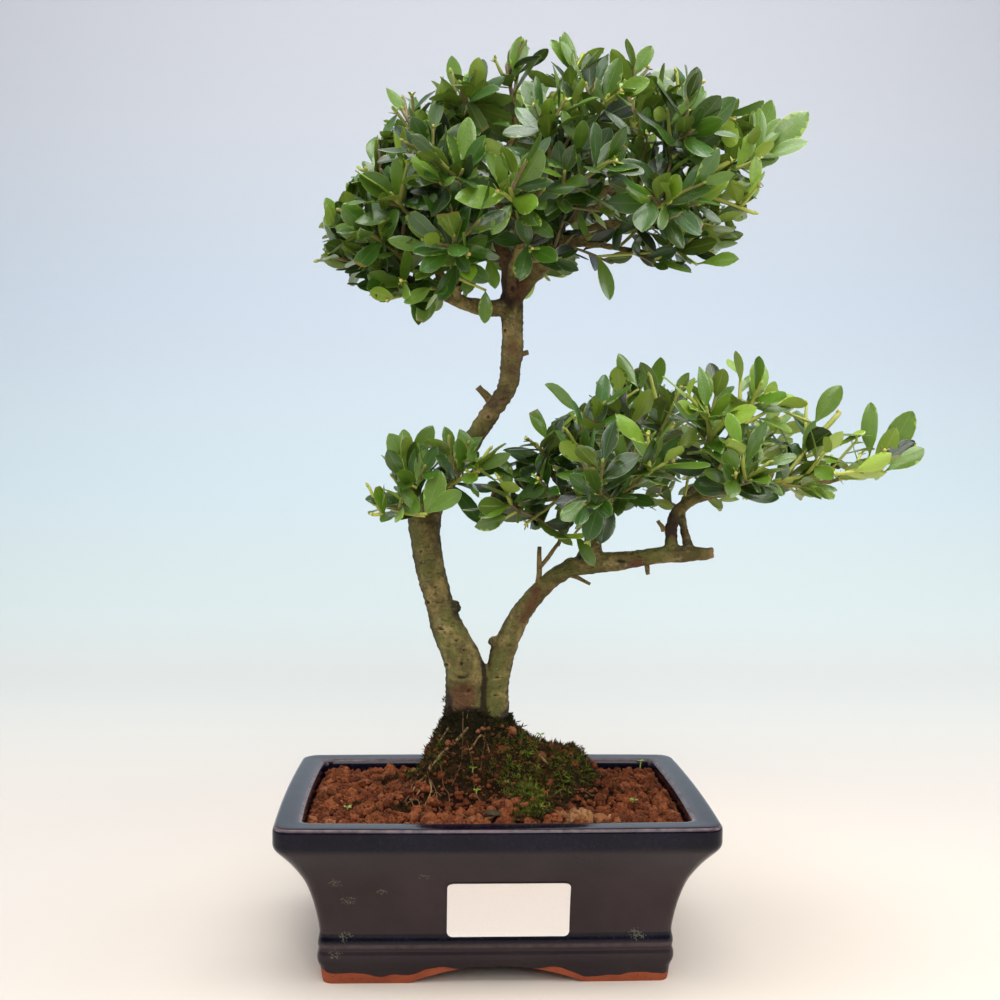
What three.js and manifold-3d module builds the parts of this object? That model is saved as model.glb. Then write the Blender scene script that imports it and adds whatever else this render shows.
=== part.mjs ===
// Japanese holly bonsai (Ilex crenata) in a glazed rectangular pot.
// Millimetres, +Z up, +X to the right of the front view, -Y towards the viewer.
// Everything is laid out from the pot's centre on the table. The finished group is then moved by
// FRAME_SHIFT, so that the origin lies under the middle of the whole object.
import * as THREE from 'three'
import { mergeVertices } from 'three/addons/utils/BufferGeometryUtils.js'
import Module from 'manifold-3d'

const wasm = await Module()
wasm.setup()

// Driving dimensions of the pot
const POT_LENGTH = 180
const POT_DEPTH = 125
const POT_HEIGHT = 69
const RIM_WIDTH = 11.2
const RIM_BOW = 1.2
const RIM_CORNER = 7
const FLOOR_Z = 13
const UNDERSIDE_Z = 7.4
const FOOT_WIDTH = 9
const ARCH_HEIGHT = 7.3
const FRONT_ARCH_WIDTH = 72
const SIDE_ARCH_WIDTH = 42
const DRAIN_RADIUS = 6
const DRAIN_SPACING = 64

// Driving dimensions of what fills the pot
const CLEARANCE = 0.35
const SOIL_LEVEL = 64
const SCREEN_SIZE = 20
const SCREEN_THICKNESS = 1
const TRUNK_SPOT = new THREE.Vector2(-8, 0)
const TRUNK_FOOT_RADIUS = 12.7
const HOLE_RADIUS = 13.7
const HOLE_FLOOR = 82
const MOUND_TOP = 104
const CLOD_RELIEF = 2.4
const MOSS_GAP = 0.5
const MOSS_THICKNESS = 1.4
const MOSS_RELIEF = 2

// The blank paper label on the front
const LABEL_WIDTH = 50
const LABEL_LEFT = -20.5
const LABEL_BOTTOM = 19.9
const LABEL_TOP = 43.8
const LABEL_CORNER = 2.2
const LABEL_THICKNESS = 0.6

// Leaves and shoots
const LEAF_LENGTH = 19.5
const LEAF_SLENDERNESS = 0.5
const LEAF_RIB = 1.2
const LEAF_NECK = 0.8
const LEAF_START = 1
const LEAF_SPACING = 4
const LEAF_TURN = THREE.MathUtils.degToRad(137.5)
const STEM_LENGTH = 30
const STEM_RADIUS = 1.3
const STEM_TIP_RADIUS = 1
const STEM_GAP = 0.7
const LEAVES_PER_SPRAY = 8
const LEAN_AT_TIP = 24
const LEAN_STEP = 9
const LEAN_LIMIT = 66
const LEAN_SPREAD = 12
const LEAN_TRIALS = [0, 14, -14]
const LEAF_ROOM = 0.35
const TIP_LEAF_SHARE = 0.8
const SPRAY_RISE = 0.08

// From the pot's centre to the middle of the whole object, whose foliage reaches far to the right
const FRAME_SHIFT = new THREE.Vector3(-46.9, -2.7, 0)

// The limbs as centre lines, each point [x, y, z, radius]
const LIMBS = {
  trunk: [
    [-10, 0, 97, 8.2], [-12.8, 0, 112, 8.6], [-13.4, 0, 123.7, 8.7], [-20.7, 1, 139, 7.3], [-23.6, 2, 147.4, 6.3],
    [-26.6, 2.5, 158, 6.1], [-30, 3.5, 172.5, 6.5], [-31.4, 3.5, 187.5, 7.3], [-28.3, 2, 195, 6.2],
    [-23.6, 1, 201.5, 5], [-14.6, -0.5, 216.5, 4.4], [-2.2, 0, 235.6, 4.5], [4.4, 1, 246.5, 4.7],
    [6.1, 0.5, 262, 4.9], [6, 0, 286, 5.1],
  ],
  right_limb: [
    [-2.5, -0.5, 97, 6.2], [0.2, -0.5, 112, 5.6], [2.3, -0.5, 123.6, 5.4], [4.4, -1, 131.6, 5.7],
    [10.7, -3, 146.2, 4.5], [16.7, -4, 154.6, 4], [22.8, -5, 161, 3.9], [30.4, -6, 166.3, 3.8],
    [38.5, -8, 169, 4.3], [54, -10, 170.7, 4.1], [66, -12, 172.8, 3.5], [75.5, -12, 174, 3.8], [93.8, -13, 174.8, 2.5],
  ],
  crown_left: [
    [6, 0, 281.5, 4], [-3, -3, 279.5, 3.6], [-14, -6, 281, 3.2], [-24, -8, 285, 2.8], [-32, -8, 288, 2.5],
    [-45, -8, 293, 2], [-58, -5, 295.5, 1.6],
  ],
  crown_left_rise: [[-24, -8, 285, 2.2], [-27, -4, 306, 1.9], [-26, 2, 330, 1.6], [-22, 3, 346, 1.3]],
  crown_middle: [
    [6, 0, 283, 4.2], [4.6, 1, 297, 3.9], [1.5, 2, 306, 3.5], [-1, 4, 322, 2.9], [2, 6, 342, 2.3], [7, 5, 360, 1.6],
  ],
  crown_right: [[6, 0, 284, 4.4], [12, -1, 292, 4.1], [20, -2, 300, 3.8], [26, -2, 307, 3.6], [30, -2, 309, 3]],
  crown_right_rise: [[26, -2, 306, 2.8], [25.5, -2, 317, 2.6], [28, -1, 334, 2.1], [33, 0, 352, 1.6]],
  crown_right_upper: [[27, -2, 320, 2], [46, -4, 331, 1.9], [60, -8, 336, 1.7], [72, -10, 344, 1.4]],
  crown_right_mid: [[29, -2, 309, 2.5], [46, -5, 316, 2], [59, -7, 316.5, 1.7], [71, -8, 324, 1.4], [84, -10, 330, 1.2]],
  crown_right_low: [[29, -2, 308, 1.7], [40, -2, 308, 1.5], [54, -3, 306, 1.3], [70, -5, 303, 1.1]],
  crown_front: [[6, 0, 285, 2.8], [5, -14, 296, 2.3], [10, -27, 308, 1.9], [20, -34, 322, 1.5]],
  crown_back: [[6, 0, 286, 3], [10, 14, 300, 2.5], [17, 27, 314, 2.1], [27, 38, 330, 1.6]],
  crown_back_left: [[5, 2, 300, 2.2], [-10, 16, 308, 1.9], [-24, 28, 318, 1.5]],
  crown_back_right: [[26, -1, 316, 2.2], [42, 14, 326, 1.8], [60, 26, 336, 1.4]],
  pad_left: [[42, -8, 170, 4], [41, -8, 183, 3.5], [38, -9, 193, 2.8], [30, -9, 201, 2.2], [23, -11, 209, 1.6]],
  pad_middle: [[40, -9, 188, 2.4], [50, -12, 197, 2.1], [60, -14, 206, 1.8], [68, -16, 216, 1.4]],
  pad_back: [[41, -7, 185, 2.3], [47, 6, 193, 2], [56, 16, 203, 1.6]],
  pad_front: [[40, -9, 190, 2], [41, -24, 194, 1.6], [46, -36, 198, 1.2]],
  pad_right: [
    [75.5, -12, 173, 3.2], [75.5, -12, 186, 2.8], [78, -13, 193, 2.6], [87, -14, 199, 2.3], [100, -14, 202, 2],
    [116, -13, 204, 1.8], [132, -12, 205, 1.5], [146, -9, 206, 1.2],
  ],
  pad_right_rise: [[86, -13, 198, 1.9], [92, -14, 208, 1.7], [98, -16, 222, 1.3]],
  pad_right_back: [[84, -12, 174, 2.3], [82, -4, 186, 2], [84, 8, 196, 1.8], [96, 20, 205, 1.6], [112, 28, 211, 1.3]],
}

// Cut stubs, dead twigs and the forked twig on the bare wood: start and end, each [x, y, z, radius]
const STUBS = [
  [[-3, 0, 239.5, 1.9], [-8.3, -1, 245.6, 1.5]],
  [[8, 0, 259.6, 1.5], [13.6, 0, 261, 1]],
  [[64, -12, 171, 1.3], [65.6, -12.8, 165.2, 0.8]],
  [[32, -7, 164.5, 1.2], [41, -9.5, 160.6, 0.7]],
  [[18.2, -5, 158, 1.5], [19, -6.5, 176.5, 0.9]],
  [[18.6, -5.5, 167, 1], [27, -7.5, 178, 0.8]],
  [[26.6, -7.4, 177, 0.9], [28.6, -8.5, 186, 0.7]],
  [[72, -12, 184, 1.2], [69.5, -12.6, 188.5, 0.8]],
]

// Knots and pruning knobs that bulge from the bark: [x, y, z, radius]
const KNOBS = [
  [-17.6, -1, 149.6, 3.4], [-1, -1.5, 134.4, 2.3], [38.5, -9.5, 172.4, 4.4], [-31, -3, 185.5, 3.6],
  [-13.6, -7.2, 117.5, 3], [54, -13, 170, 2.6], [4, -3.4, 303, 2.4],
]

// Leafy sprays: name, the limb and the point along it where the branch leaves, and the leading tip
const SPRAYS = [
  ['crown_left_front', 'crown_left', 3.6, [-54, -31, 307]],
  ['crown_left_rear', 'crown_left', 5.6, [-66, 4, 322]],
  ['crown_left_end', 'crown_left', 6, [-70, -8, 300]],
  ['crown_left_below', 'crown_left', 4.2, [-45, -20, 284]],
  ['crown_left_shoulder', 'crown_left', 4.6, [-55, 6, 342]],
  ['crown_left_high', 'crown_left_rise', 2.2, [-42, -3, 364]],
  ['crown_left_face', 'crown_left_rise', 0.8, [-45, -44, 320]],
  ['crown_face_low', 'crown_left', 2.4, [-20, -60, 301]],
  ['crown_face_left', 'crown_left_rise', 1.1, [-17, -57, 327]],
  ['crown_face_middle', 'crown_front', 1.8, [1, -63, 321]],
  ['crown_face_upper', 'crown_left_rise', 1.7, [-30, -41, 337]],
  ['crown_face_top', 'crown_front', 3, [17, -46, 351]],
  ['crown_face_right', 'crown_front', 2.4, [40, -55, 332]],
  ['crown_face_right_top', 'crown_right_rise', 2, [42, -38, 362]],
  ['crown_top_left', 'crown_left_rise', 3, [-15, -26, 364]],
  ['crown_top_middle', 'crown_middle', 5, [3, 2, 385]],
  ['crown_top_right', 'crown_right_rise', 3, [31, 6, 386]],
  ['crown_top_far_right', 'crown_right_upper', 2, [57, 0, 382]],
  ['crown_right_top', 'crown_right_upper', 3, [80, -9, 373]],
  ['crown_right_face', 'crown_right_upper', 2.4, [75, -47, 347]],
  ['crown_right_below_face', 'crown_right_mid', 2.2, [66, -50, 318]],
  ['crown_right_cut_low', 'crown_right_mid', 2.3, [96, -22, 341]],
  ['crown_right_cut_far', 'crown_right_mid', 4, [115, -7, 348]],
  ['crown_right_end', 'crown_right_mid', 3.9, [108, -18, 320]],
  ['crown_right_low_end', 'crown_right_low', 3, [93, 0, 309]],
  ['crown_right_shoulder', 'crown_right_upper', 3, [107, 24, 364]],
  ['crown_back_left_side', 'crown_back_left', 2, [-50, 40, 329]],
  ['crown_back_left_top', 'crown_back_left', 1.7, [-25, 44, 363]],
  ['crown_back_top', 'crown_back', 3, [16, 52, 377]],
  ['crown_back_right_top', 'crown_back_right', 1.6, [54, 46, 378]],
  ['crown_back_right_side', 'crown_back_right', 2, [86, 46, 334]],
  ['crown_back_middle', 'crown_back', 2.5, [46, 68, 337]],
  ['crown_back_middle_left', 'crown_back', 1.6, [-6, 64, 330]],
  ['crown_back_low', 'crown_back', 1.2, [24, 58, 303]],
  ['pad_left_tip', 'pad_left', 4, [20, -18, 219]],
  ['pad_left_low', 'pad_left', 2.6, [0, -22, 194]],
  ['pad_left_rise', 'pad_left', 2.4, [36, -30, 230]],
  ['pad_middle_rise', 'pad_middle', 2, [53, -13, 240]],
  ['pad_front_left', 'pad_front', 2, [37, -54, 201]],
  ['pad_middle_top', 'pad_middle', 3, [72, 2, 242]],
  ['pad_right_face', 'pad_right_rise', 1, [84, -40, 236]],
  ['pad_front_middle', 'pad_front', 1.2, [66, -47, 214]],
  ['pad_back_left', 'pad_back', 1.4, [46, 38, 221]],
  ['pad_back_right', 'pad_back', 2, [86, 44, 231]],
  ['pad_right_top', 'pad_right_rise', 2, [109, -19, 241]],
  ['pad_front_right', 'pad_right', 3.6, [101, -47, 207]],
  ['pad_cut_high', 'pad_right', 5.4, [148, -10, 236]],
  ['pad_cut_low', 'pad_right', 5, [140, -30, 210]],
  ['pad_far_end', 'pad_right', 7, [171, -3, 210]],
  ['pad_back_end', 'pad_right_back', 4, [134, 40, 222]],
  ['trunk_left', 'trunk', 7.2, [-53, -22, 191]],
  ['trunk_middle', 'trunk', 7.3, [-40, -21, 206]],
  ['trunk_right', 'trunk', 8.6, [-8, -26, 210]],
]

// A repeatable draw between 0 and 1, keyed by spray, shoot, leaf and purpose
function draw(spray, shoot, leaf, purpose) {
  let mixed = Math.imul(spray + 1, 374761393) ^ Math.imul(shoot + 1, 668265263)
  mixed ^= Math.imul(leaf + 1, 2246822519) ^ Math.imul(purpose + 1, 3266489917)
  mixed = Math.imul(mixed ^ (mixed >>> 15), 2246822519)
  mixed = Math.imul(mixed ^ (mixed >>> 13), 3266489917)
  return ((mixed ^ (mixed >>> 16)) >>> 0) / 4294967296
}

// A closed mesh from its corners and triangles
function meshGeometry(corners, triangles) {
  const geometry = new THREE.BufferGeometry()
  geometry.setAttribute('position', new THREE.Float32BufferAttribute(corners.flatMap(c => [c.x, c.y, c.z]), 3))
  geometry.setIndex(triangles.flat())
  return geometry
}

// A closed skin over a stack of rings, each with the same number of points
function loft(rings) {
  const count = rings[0].length
  const triangles = []
  for (let level = 0; level + 1 < rings.length; level += 1) {
    for (let i = 0; i < count; i += 1) {
      const here = level * count + i
      const next = level * count + (i + 1) % count
      triangles.push([here, next, next + count])
      triangles.push([here, next + count, here + count])
    }
  }
  const last = (rings.length - 1) * count
  for (let i = 1; i + 1 < count; i += 1) {
    triangles.push([0, i + 1, i])
    triangles.push([last, last + i, last + i + 1])
  }
  return meshGeometry(rings.flat(), triangles)
}

function toSolid(geometry) {
  const bare = geometry.clone()
  bare.deleteAttribute('normal')
  bare.deleteAttribute('uv')
  const merged = mergeVertices(bare, 1e-4)
  const vertProperties = Float32Array.from(merged.attributes.position.array)
  const triVerts = Uint32Array.from(merged.index.array)
  return new wasm.Manifold(new wasm.Mesh({ numProp: 3, vertProperties, triVerts }))
}

function toGeometry(solid) {
  const mesh = solid.getMesh()
  const geometry = new THREE.BufferGeometry()
  geometry.setAttribute('position', new THREE.BufferAttribute(Float32Array.from(mesh.vertProperties), 3))
  geometry.setIndex(new THREE.BufferAttribute(Uint32Array.from(mesh.triVerts), 1))
  geometry.computeVertexNormals()
  return geometry
}

// Joins solids into one body. Loose scraps are dropped and sealed hollows are filled
function fuse(solids) {
  const joined = solids.reduce((whole, solid) => whole.add(solid))
  const bodies = joined.decompose()
  return bodies.reduce((largest, body) => (body.volume() > largest.volume() ? body : largest))
}

function material(color, roughness) {
  return new THREE.MeshStandardMaterial({ color, roughness, metalness: 0 })
}

function part(name, geometry, look) {
  const mesh = new THREE.Mesh(geometry, look)
  mesh.name = name
  return mesh
}

const GLAZE = material(0x1c1d2a, 0.22)
const SOIL = material(0x6e3520, 0.95)
const MOSS = material(0x3a5220, 0.95)
const BARK = material(0x6f6245, 0.85)
const LEAF = material(0x3f6a22, 0.45)
const PAPER = material(0xf2eeec, 0.6)
const SCREEN = material(0x26292b, 0.6)

// Plan outline of the pot at one level, counter-clockwise: round corners, sides bowed outwards
function outline(inset, z, corner, bow) {
  const halfX = POT_LENGTH / 2 - inset
  const halfY = POT_DEPTH / 2 - inset
  const points = []
  const straightX = halfX - corner
  const straightY = halfY - corner
  const cornerSteps = 3
  const sides = [
    { corner: [1, -1], from: [halfX, -straightY], to: [halfX, straightY], steps: 3, out: [1, 0] },
    { corner: [1, 1], from: [straightX, halfY], to: [-straightX, halfY], steps: 5, out: [0, 1] },
    { corner: [-1, 1], from: [-halfX, straightY], to: [-halfX, -straightY], steps: 3, out: [-1, 0] },
    { corner: [-1, -1], from: [-straightX, -halfY], to: [straightX, -halfY], steps: 5, out: [0, -1] },
  ]
  sides.forEach((side, index) => {
    const startAngle = (index - 1) * Math.PI / 2
    for (let i = 0; i <= cornerSteps; i += 1) {
      const angle = startAngle + i / cornerSteps * Math.PI / 2
      const x = side.corner[0] * straightX + corner * Math.cos(angle)
      const y = side.corner[1] * straightY + corner * Math.sin(angle)
      points.push(new THREE.Vector3(x, y, z))
    }
    for (let i = 1; i < side.steps; i += 1) {
      const share = i / side.steps
      const push = bow * (1 - (2 * share - 1) ** 2)
      const x = THREE.MathUtils.lerp(side.from[0], side.to[0], share) + side.out[0] * push
      const y = THREE.MathUtils.lerp(side.from[1], side.to[1], share) + side.out[1] * push
      points.push(new THREE.Vector3(x, y, z))
    }
  })
  return points
}

// Outer profile of the pot: inset from the rim's edge and height, from the foot up
const OUTER_PROFILE = [
  [18.8, 0], [17.8, 7], [16.6, 9.5], [16.6, 12], [17.3, 14.3], [16.7, 16.6], [17.6, 20.4],
  [15.9, 30.8], [13.2, 40], [9.5, 47.6], [5, 54.4], [0.7, 59.2], [0, 63], [0, 67], [1.2, POT_HEIGHT],
]

// Inner wall: inset and height, from the rim down to the floor
const INNER_PROFILE = [[RIM_WIDTH - 0.4, POT_HEIGHT], [12.4, 60], [17.5, 45], [25.5, FLOOR_Z]]

function levelOf([inset, z]) {
  const bow = RIM_BOW * THREE.MathUtils.clamp(z / POT_HEIGHT, 0.4, 1)
  return outline(inset, z, Math.max(3, RIM_CORNER - inset * 0.15), bow)
}

// A shallow arch cut between two feet, through the whole pot along +Z before it is turned
function archCutter(width, length) {
  const radius = (width * width / 4 + ARCH_HEIGHT * ARCH_HEIGHT) / (2 * ARCH_HEIGHT)
  const halfAngle = Math.asin(width / 2 / radius)
  const shape = new THREE.Shape()
  shape.moveTo(-width / 2, -2)
  shape.lineTo(width / 2, -2)
  shape.absarc(0, ARCH_HEIGHT - radius, radius, Math.PI / 2 - halfAngle, Math.PI / 2 + halfAngle, false)
  const geometry = new THREE.ExtrudeGeometry(shape, { depth: length, bevelEnabled: false, curveSegments: 7 })
  geometry.translate(0, 0, -length / 2)
  geometry.rotateX(Math.PI / 2)
  return geometry
}

function pot() {
  const rings = [...OUTER_PROFILE, ...INNER_PROFILE].map(levelOf)
  let solid = toSolid(loft(rings))
  const recess = new THREE.BoxGeometry(
    POT_LENGTH - 2 * (OUTER_PROFILE[0][0] + FOOT_WIDTH),
    POT_DEPTH - 2 * (OUTER_PROFILE[0][0] + FOOT_WIDTH),
    2 * UNDERSIDE_Z,
  )
  solid = solid.subtract(toSolid(recess))
  solid = solid.subtract(toSolid(archCutter(FRONT_ARCH_WIDTH, POT_DEPTH)))
  solid = solid.subtract(toSolid(archCutter(SIDE_ARCH_WIDTH, POT_LENGTH).rotateZ(Math.PI / 2)))
  for (const side of [-1, 1]) {
    const drain = new THREE.CylinderGeometry(DRAIN_RADIUS, DRAIN_RADIUS, 4 * FLOOR_Z, 8)
    drain.rotateX(Math.PI / 2)
    drain.translate(side * DRAIN_SPACING / 2, 0, 0)
    solid = solid.subtract(toSolid(drain))
  }
  return part('pot', toGeometry(solid), GLAZE)
}

// A square of coarse plastic mesh over one drainage hole
function drainScreen(name, side) {
  const opening = SCREEN_SIZE / 5
  let solid = toSolid(new THREE.BoxGeometry(SCREEN_SIZE, SCREEN_SIZE, SCREEN_THICKNESS))
  for (const i of [-1, 1]) {
    for (const j of [-1, 1]) {
      const hole = new THREE.BoxGeometry(opening, opening, 2 * SCREEN_THICKNESS)
      hole.translate(i * opening, j * opening, 0)
      solid = solid.subtract(toSolid(hole))
    }
  }
  const screen = part(name, toGeometry(solid), SCREEN)
  screen.position.set(side * DRAIN_SPACING / 2, 0, FLOOR_Z + CLEARANCE + SCREEN_THICKNESS / 2)
  return screen
}

// A smooth round bump, 1 at its middle and 0 past its edge
function bump(x, y, centreX, centreY, radiusX, radiusY) {
  const reach = ((x - centreX) / radiusX) ** 2 + ((y - centreY) / radiusY) ** 2
  return reach < 1 ? (1 - reach) ** 2 : 0
}

// Height of the soil: flat near the rim, with the old root mound round the trunk
function soilHeight(x, y) {
  let z = SOIL_LEVEL
  z += 42 * bump(x, y, TRUNK_SPOT.x, TRUNK_SPOT.y, 30, 27)
  z += 14 * bump(x, y, 4, -1, 52, 40)
  z += 17 * bump(x, y, 26, 4, 30, 26)
  z += 6 * bump(x, y, 16, -34, 24, 22)
  return Math.min(z, MOUND_TOP)
}

// The soil's surface is laid out in rings from the trunk's hole to the pot's wall. Each has its
// half sizes along X and Y and how far it gives way to the wall's own outline
const SOIL_RINGS = [
  [HOLE_RADIUS, HOLE_RADIUS, 0], [20, 18, 0], [28, 24, 0], [37, 31, 0.05], [46, 37, 0.15], [56, 42, 0.5], [70, 50, 1],
]
const MOSS_RINGS = 5
const RING_TURN = -0.72

function surfaceRing(ringIndex, lift) {
  const wall = levelOf([RIM_WIDTH + CLEARANCE + 0.6, SOIL_LEVEL])
  const [radiusX, radiusY, blend] = SOIL_RINGS[ringIndex]
  const buried = ringIndex > 0 && blend < 1
  return wall.map((edge, i) => {
    const angle = (i + 0.5) / wall.length * 2 * Math.PI + RING_TURN
    const drift = (radiusX - HOLE_RADIUS) * 0.22
    const roundX = TRUNK_SPOT.x + drift + radiusX * Math.cos(angle)
    const roundY = TRUNK_SPOT.y + radiusY * Math.sin(angle)
    const x = THREE.MathUtils.lerp(roundX, edge.x, blend)
    const y = THREE.MathUtils.lerp(roundY, edge.y, blend)
    const clods = buried ? CLOD_RELIEF * (draw(90, ringIndex, i, 1) - 0.5) : 0
    return new THREE.Vector3(x, y, soilHeight(x, y) + clods + lift(i))
  })
}

function soil() {
  const inner = ([inset, z]) => levelOf([inset + CLEARANCE, z])
  const walls = [[25.4, FLOOR_Z + CLEARANCE], [17.5, 45], [12.6, 60]].map(inner)
  const surface = SOIL_RINGS.map((ring, index) => surfaceRing(index, () => 0)).reverse()
  const rim = surface[surface.length - 1]
  const holeFloor = rim.map(point => new THREE.Vector3(point.x, point.y, HOLE_FLOOR))
  let solid = toSolid(loft([...walls, ...surface, holeFloor]))
  for (const side of [-1, 1]) {
    const width = SCREEN_SIZE + 2 * CLEARANCE
    const height = 2 * (SCREEN_THICKNESS + CLEARANCE)
    const pocket = new THREE.BoxGeometry(width, width, height)
    pocket.translate(side * DRAIN_SPACING / 2, 0, FLOOR_Z + CLEARANCE)
    solid = solid.subtract(toSolid(pocket))
  }
  return part('soil', toGeometry(solid), SOIL)
}

// Cushions of moss over the mound, on the same rings as the soil below
function moss() {
  const lower = []
  const upper = []
  for (let ring = 0; ring < MOSS_RINGS; ring += 1) {
    const thick = i => MOSS_THICKNESS + MOSS_RELIEF * draw(91, ring, i, 2)
    lower.push(surfaceRing(ring, () => MOSS_GAP))
    upper.push(surfaceRing(ring, i => MOSS_GAP + thick(i)))
  }
  const rings = [...upper, ...lower.reverse()]
  const count = rings[0].length
  const triangles = []
  rings.forEach((ring, level) => {
    const above = (level + 1) % rings.length
    for (let i = 0; i < count; i += 1) {
      const next = (i + 1) % count
      triangles.push([level * count + i, above * count + next, level * count + next])
      triangles.push([level * count + i, above * count + i, above * count + next])
    }
  })
  return part('moss', meshGeometry(rings.flat(), triangles).toNonIndexed(), MOSS)
}

// The label follows the hollow front: its inset at a height is read from the outer profile
function frontAt(x, z) {
  const index = OUTER_PROFILE.findIndex(([, height]) => height >= z)
  const [lowInset, lowZ] = OUTER_PROFILE[index - 1]
  const [highInset, highZ] = OUTER_PROFILE[index]
  const inset = THREE.MathUtils.mapLinear(z, lowZ, highZ, lowInset, highInset)
  const straight = POT_LENGTH / 2 - inset - RIM_CORNER
  const bow = RIM_BOW * THREE.MathUtils.clamp(z / POT_HEIGHT, 0.4, 1)
  return -(POT_DEPTH / 2 - inset + bow * (1 - (x / straight) ** 2))
}

function label() {
  const middle = LABEL_LEFT + LABEL_WIDTH / 2
  const rows = [0, 0.06, 0.25, 0.5, 0.75, 0.94, 1]
  const half = rows.map(row => {
    const fromEnd = Math.min(row, 1 - row) * (LABEL_TOP - LABEL_BOTTOM)
    const cut = fromEnd < LABEL_CORNER ? LABEL_CORNER - Math.sqrt(LABEL_CORNER ** 2 - (LABEL_CORNER - fromEnd) ** 2) : 0
    return { z: THREE.MathUtils.lerp(LABEL_BOTTOM, LABEL_TOP, row), reach: LABEL_WIDTH / 2 - cut }
  })
  const rings = half.map(({ z, reach }) => {
    const back = frontAt(middle, z) - CLEARANCE - 0.25
    const front = back - LABEL_THICKNESS
    return [
      new THREE.Vector3(middle - reach, front, z),
      new THREE.Vector3(middle + reach, front, z),
      new THREE.Vector3(middle + reach, back, z),
      new THREE.Vector3(middle - reach, back, z),
    ]
  })
  return part('label', loft(rings), PAPER)
}

// A tapered round member along a line of points, with gnarls on its surface. Its far face can be
// turned square to another axis
function member(points, radii, sides, gnarl, key, endAxis = null) {
  const rings = []
  let across = new THREE.Vector3(0.31, -0.95, 0.05)
  points.forEach((point, index) => {
    const before = points[Math.max(index - 1, 0)]
    const after = points[Math.min(index + 1, points.length - 1)]
    const last = index === points.length - 1
    const along = last && endAxis ? endAxis : after.clone().sub(before).normalize()
    across = across.clone().addScaledVector(along, -across.dot(along)).normalize()
    const third = along.clone().cross(across)
    const ring = []
    for (let i = 0; i < sides; i += 1) {
      const angle = i / sides * 2 * Math.PI
      const radius = radii[index] * (1 + gnarl * (draw(key, index, i, 3) - 0.5))
      ring.push(point.clone()
        .addScaledVector(across, radius * Math.cos(angle))
        .addScaledVector(third, radius * Math.sin(angle)))
    }
    rings.push(ring)
  })
  return toSolid(loft(rings))
}

function limb(rows, sides, gnarl, key) {
  const points = rows.map(([x, y, z]) => new THREE.Vector3(x, y, z))
  return member(points, rows.map(row => row[3]), sides, gnarl, key)
}

function limbPoint(name, position) {
  const rows = LIMBS[name]
  const index = Math.min(Math.floor(position), rows.length - 2)
  const share = position - index
  const [a, b] = [rows[index], rows[index + 1]]
  return {
    point: new THREE.Vector3(...a).lerp(new THREE.Vector3(...b), share),
    radius: THREE.MathUtils.lerp(a[3], b[3], share),
  }
}

// The line of one spray, from the limb to its leading tip, and how far along it the bark ends
function sprayLine([, limbName, position, tip]) {
  const { point, radius } = limbPoint(limbName, position)
  const end = new THREE.Vector3(...tip)
  const length = point.distanceTo(end)
  const middle = point.clone().lerp(end, 0.5)
  middle.z += SPRAY_RISE * length
  const barkEnd = THREE.MathUtils.clamp(1 - STEM_LENGTH / length, (radius + 2) / length, 0.75)
  return { curve: new THREE.QuadraticBezierCurve3(point, middle, end), length, radius, barkEnd }
}

// The bare wood: the buried foot, both limbs, the crown's and the pad's limbs, branches and stubs
function trunkSolid() {
  const foot = limb([[-8, 0, HOLE_FLOOR + CLEARANCE, 12], [-8, 0, 104, TRUNK_FOOT_RADIUS],
    [-8.2, 0, 108.5, 12], [-8.6, 0, 116, 8.6]], 12, 0.04, 60)
  const pieces = [foot]
  Object.entries(LIMBS).forEach(([name, rows], index) => {
    const thick = name === 'trunk' || name === 'right_limb'
    const sides = thick ? 8 : rows[0][3] > 2.5 ? 5 : 4
    pieces.push(limb(rows, sides, thick ? 0.08 : 0.04, 61 + index))
  })
  for (const [start, end] of STUBS) {
    pieces.push(limb([start, end], 4, 0, 0))
  }
  for (const [x, y, z, radius] of KNOBS) {
    const knob = new THREE.IcosahedronGeometry(radius, 0)
    knob.translate(x, y, z)
    pieces.push(toSolid(knob))
  }
  for (const spray of SPRAYS) {
    const { curve, radius, barkEnd } = sprayLine(spray)
    const start = Math.min(radius * 0.7, 2)
    const points = [curve.getPoint(0), curve.getPoint(barkEnd)]
    pieces.push(member(points, [start, STEM_RADIUS], 3, 0, 0, stemOf(spray).axis))
  }
  return fuse(pieces)
}

// The green stem of one spray, from just past the end of its bark to its tip
function stemOf(spray) {
  const { curve, length, barkEnd } = sprayLine(spray)
  const from = barkEnd + STEM_GAP / length
  const start = curve.getPoint(from)
  const end = curve.getPoint(1)
  return { start, end, length: start.distanceTo(end), axis: end.clone().sub(start).normalize() }
}

// The direction that leans away from an axis by an angle, on the side given by a turn
function tilted(axis, turn, lean) {
  const across = new THREE.Vector3(0, 0, 1).addScaledVector(axis, -axis.z)
  if (across.length() < 0.1) {
    across.set(1, 0, 0).addScaledVector(axis, -axis.x)
  }
  across.normalize()
  const third = axis.clone().cross(across)
  return axis.clone().multiplyScalar(Math.cos(lean))
    .addScaledVector(across, Math.sin(lean) * Math.cos(turn))
    .addScaledVector(third, Math.sin(lean) * Math.sin(turn))
}

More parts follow.
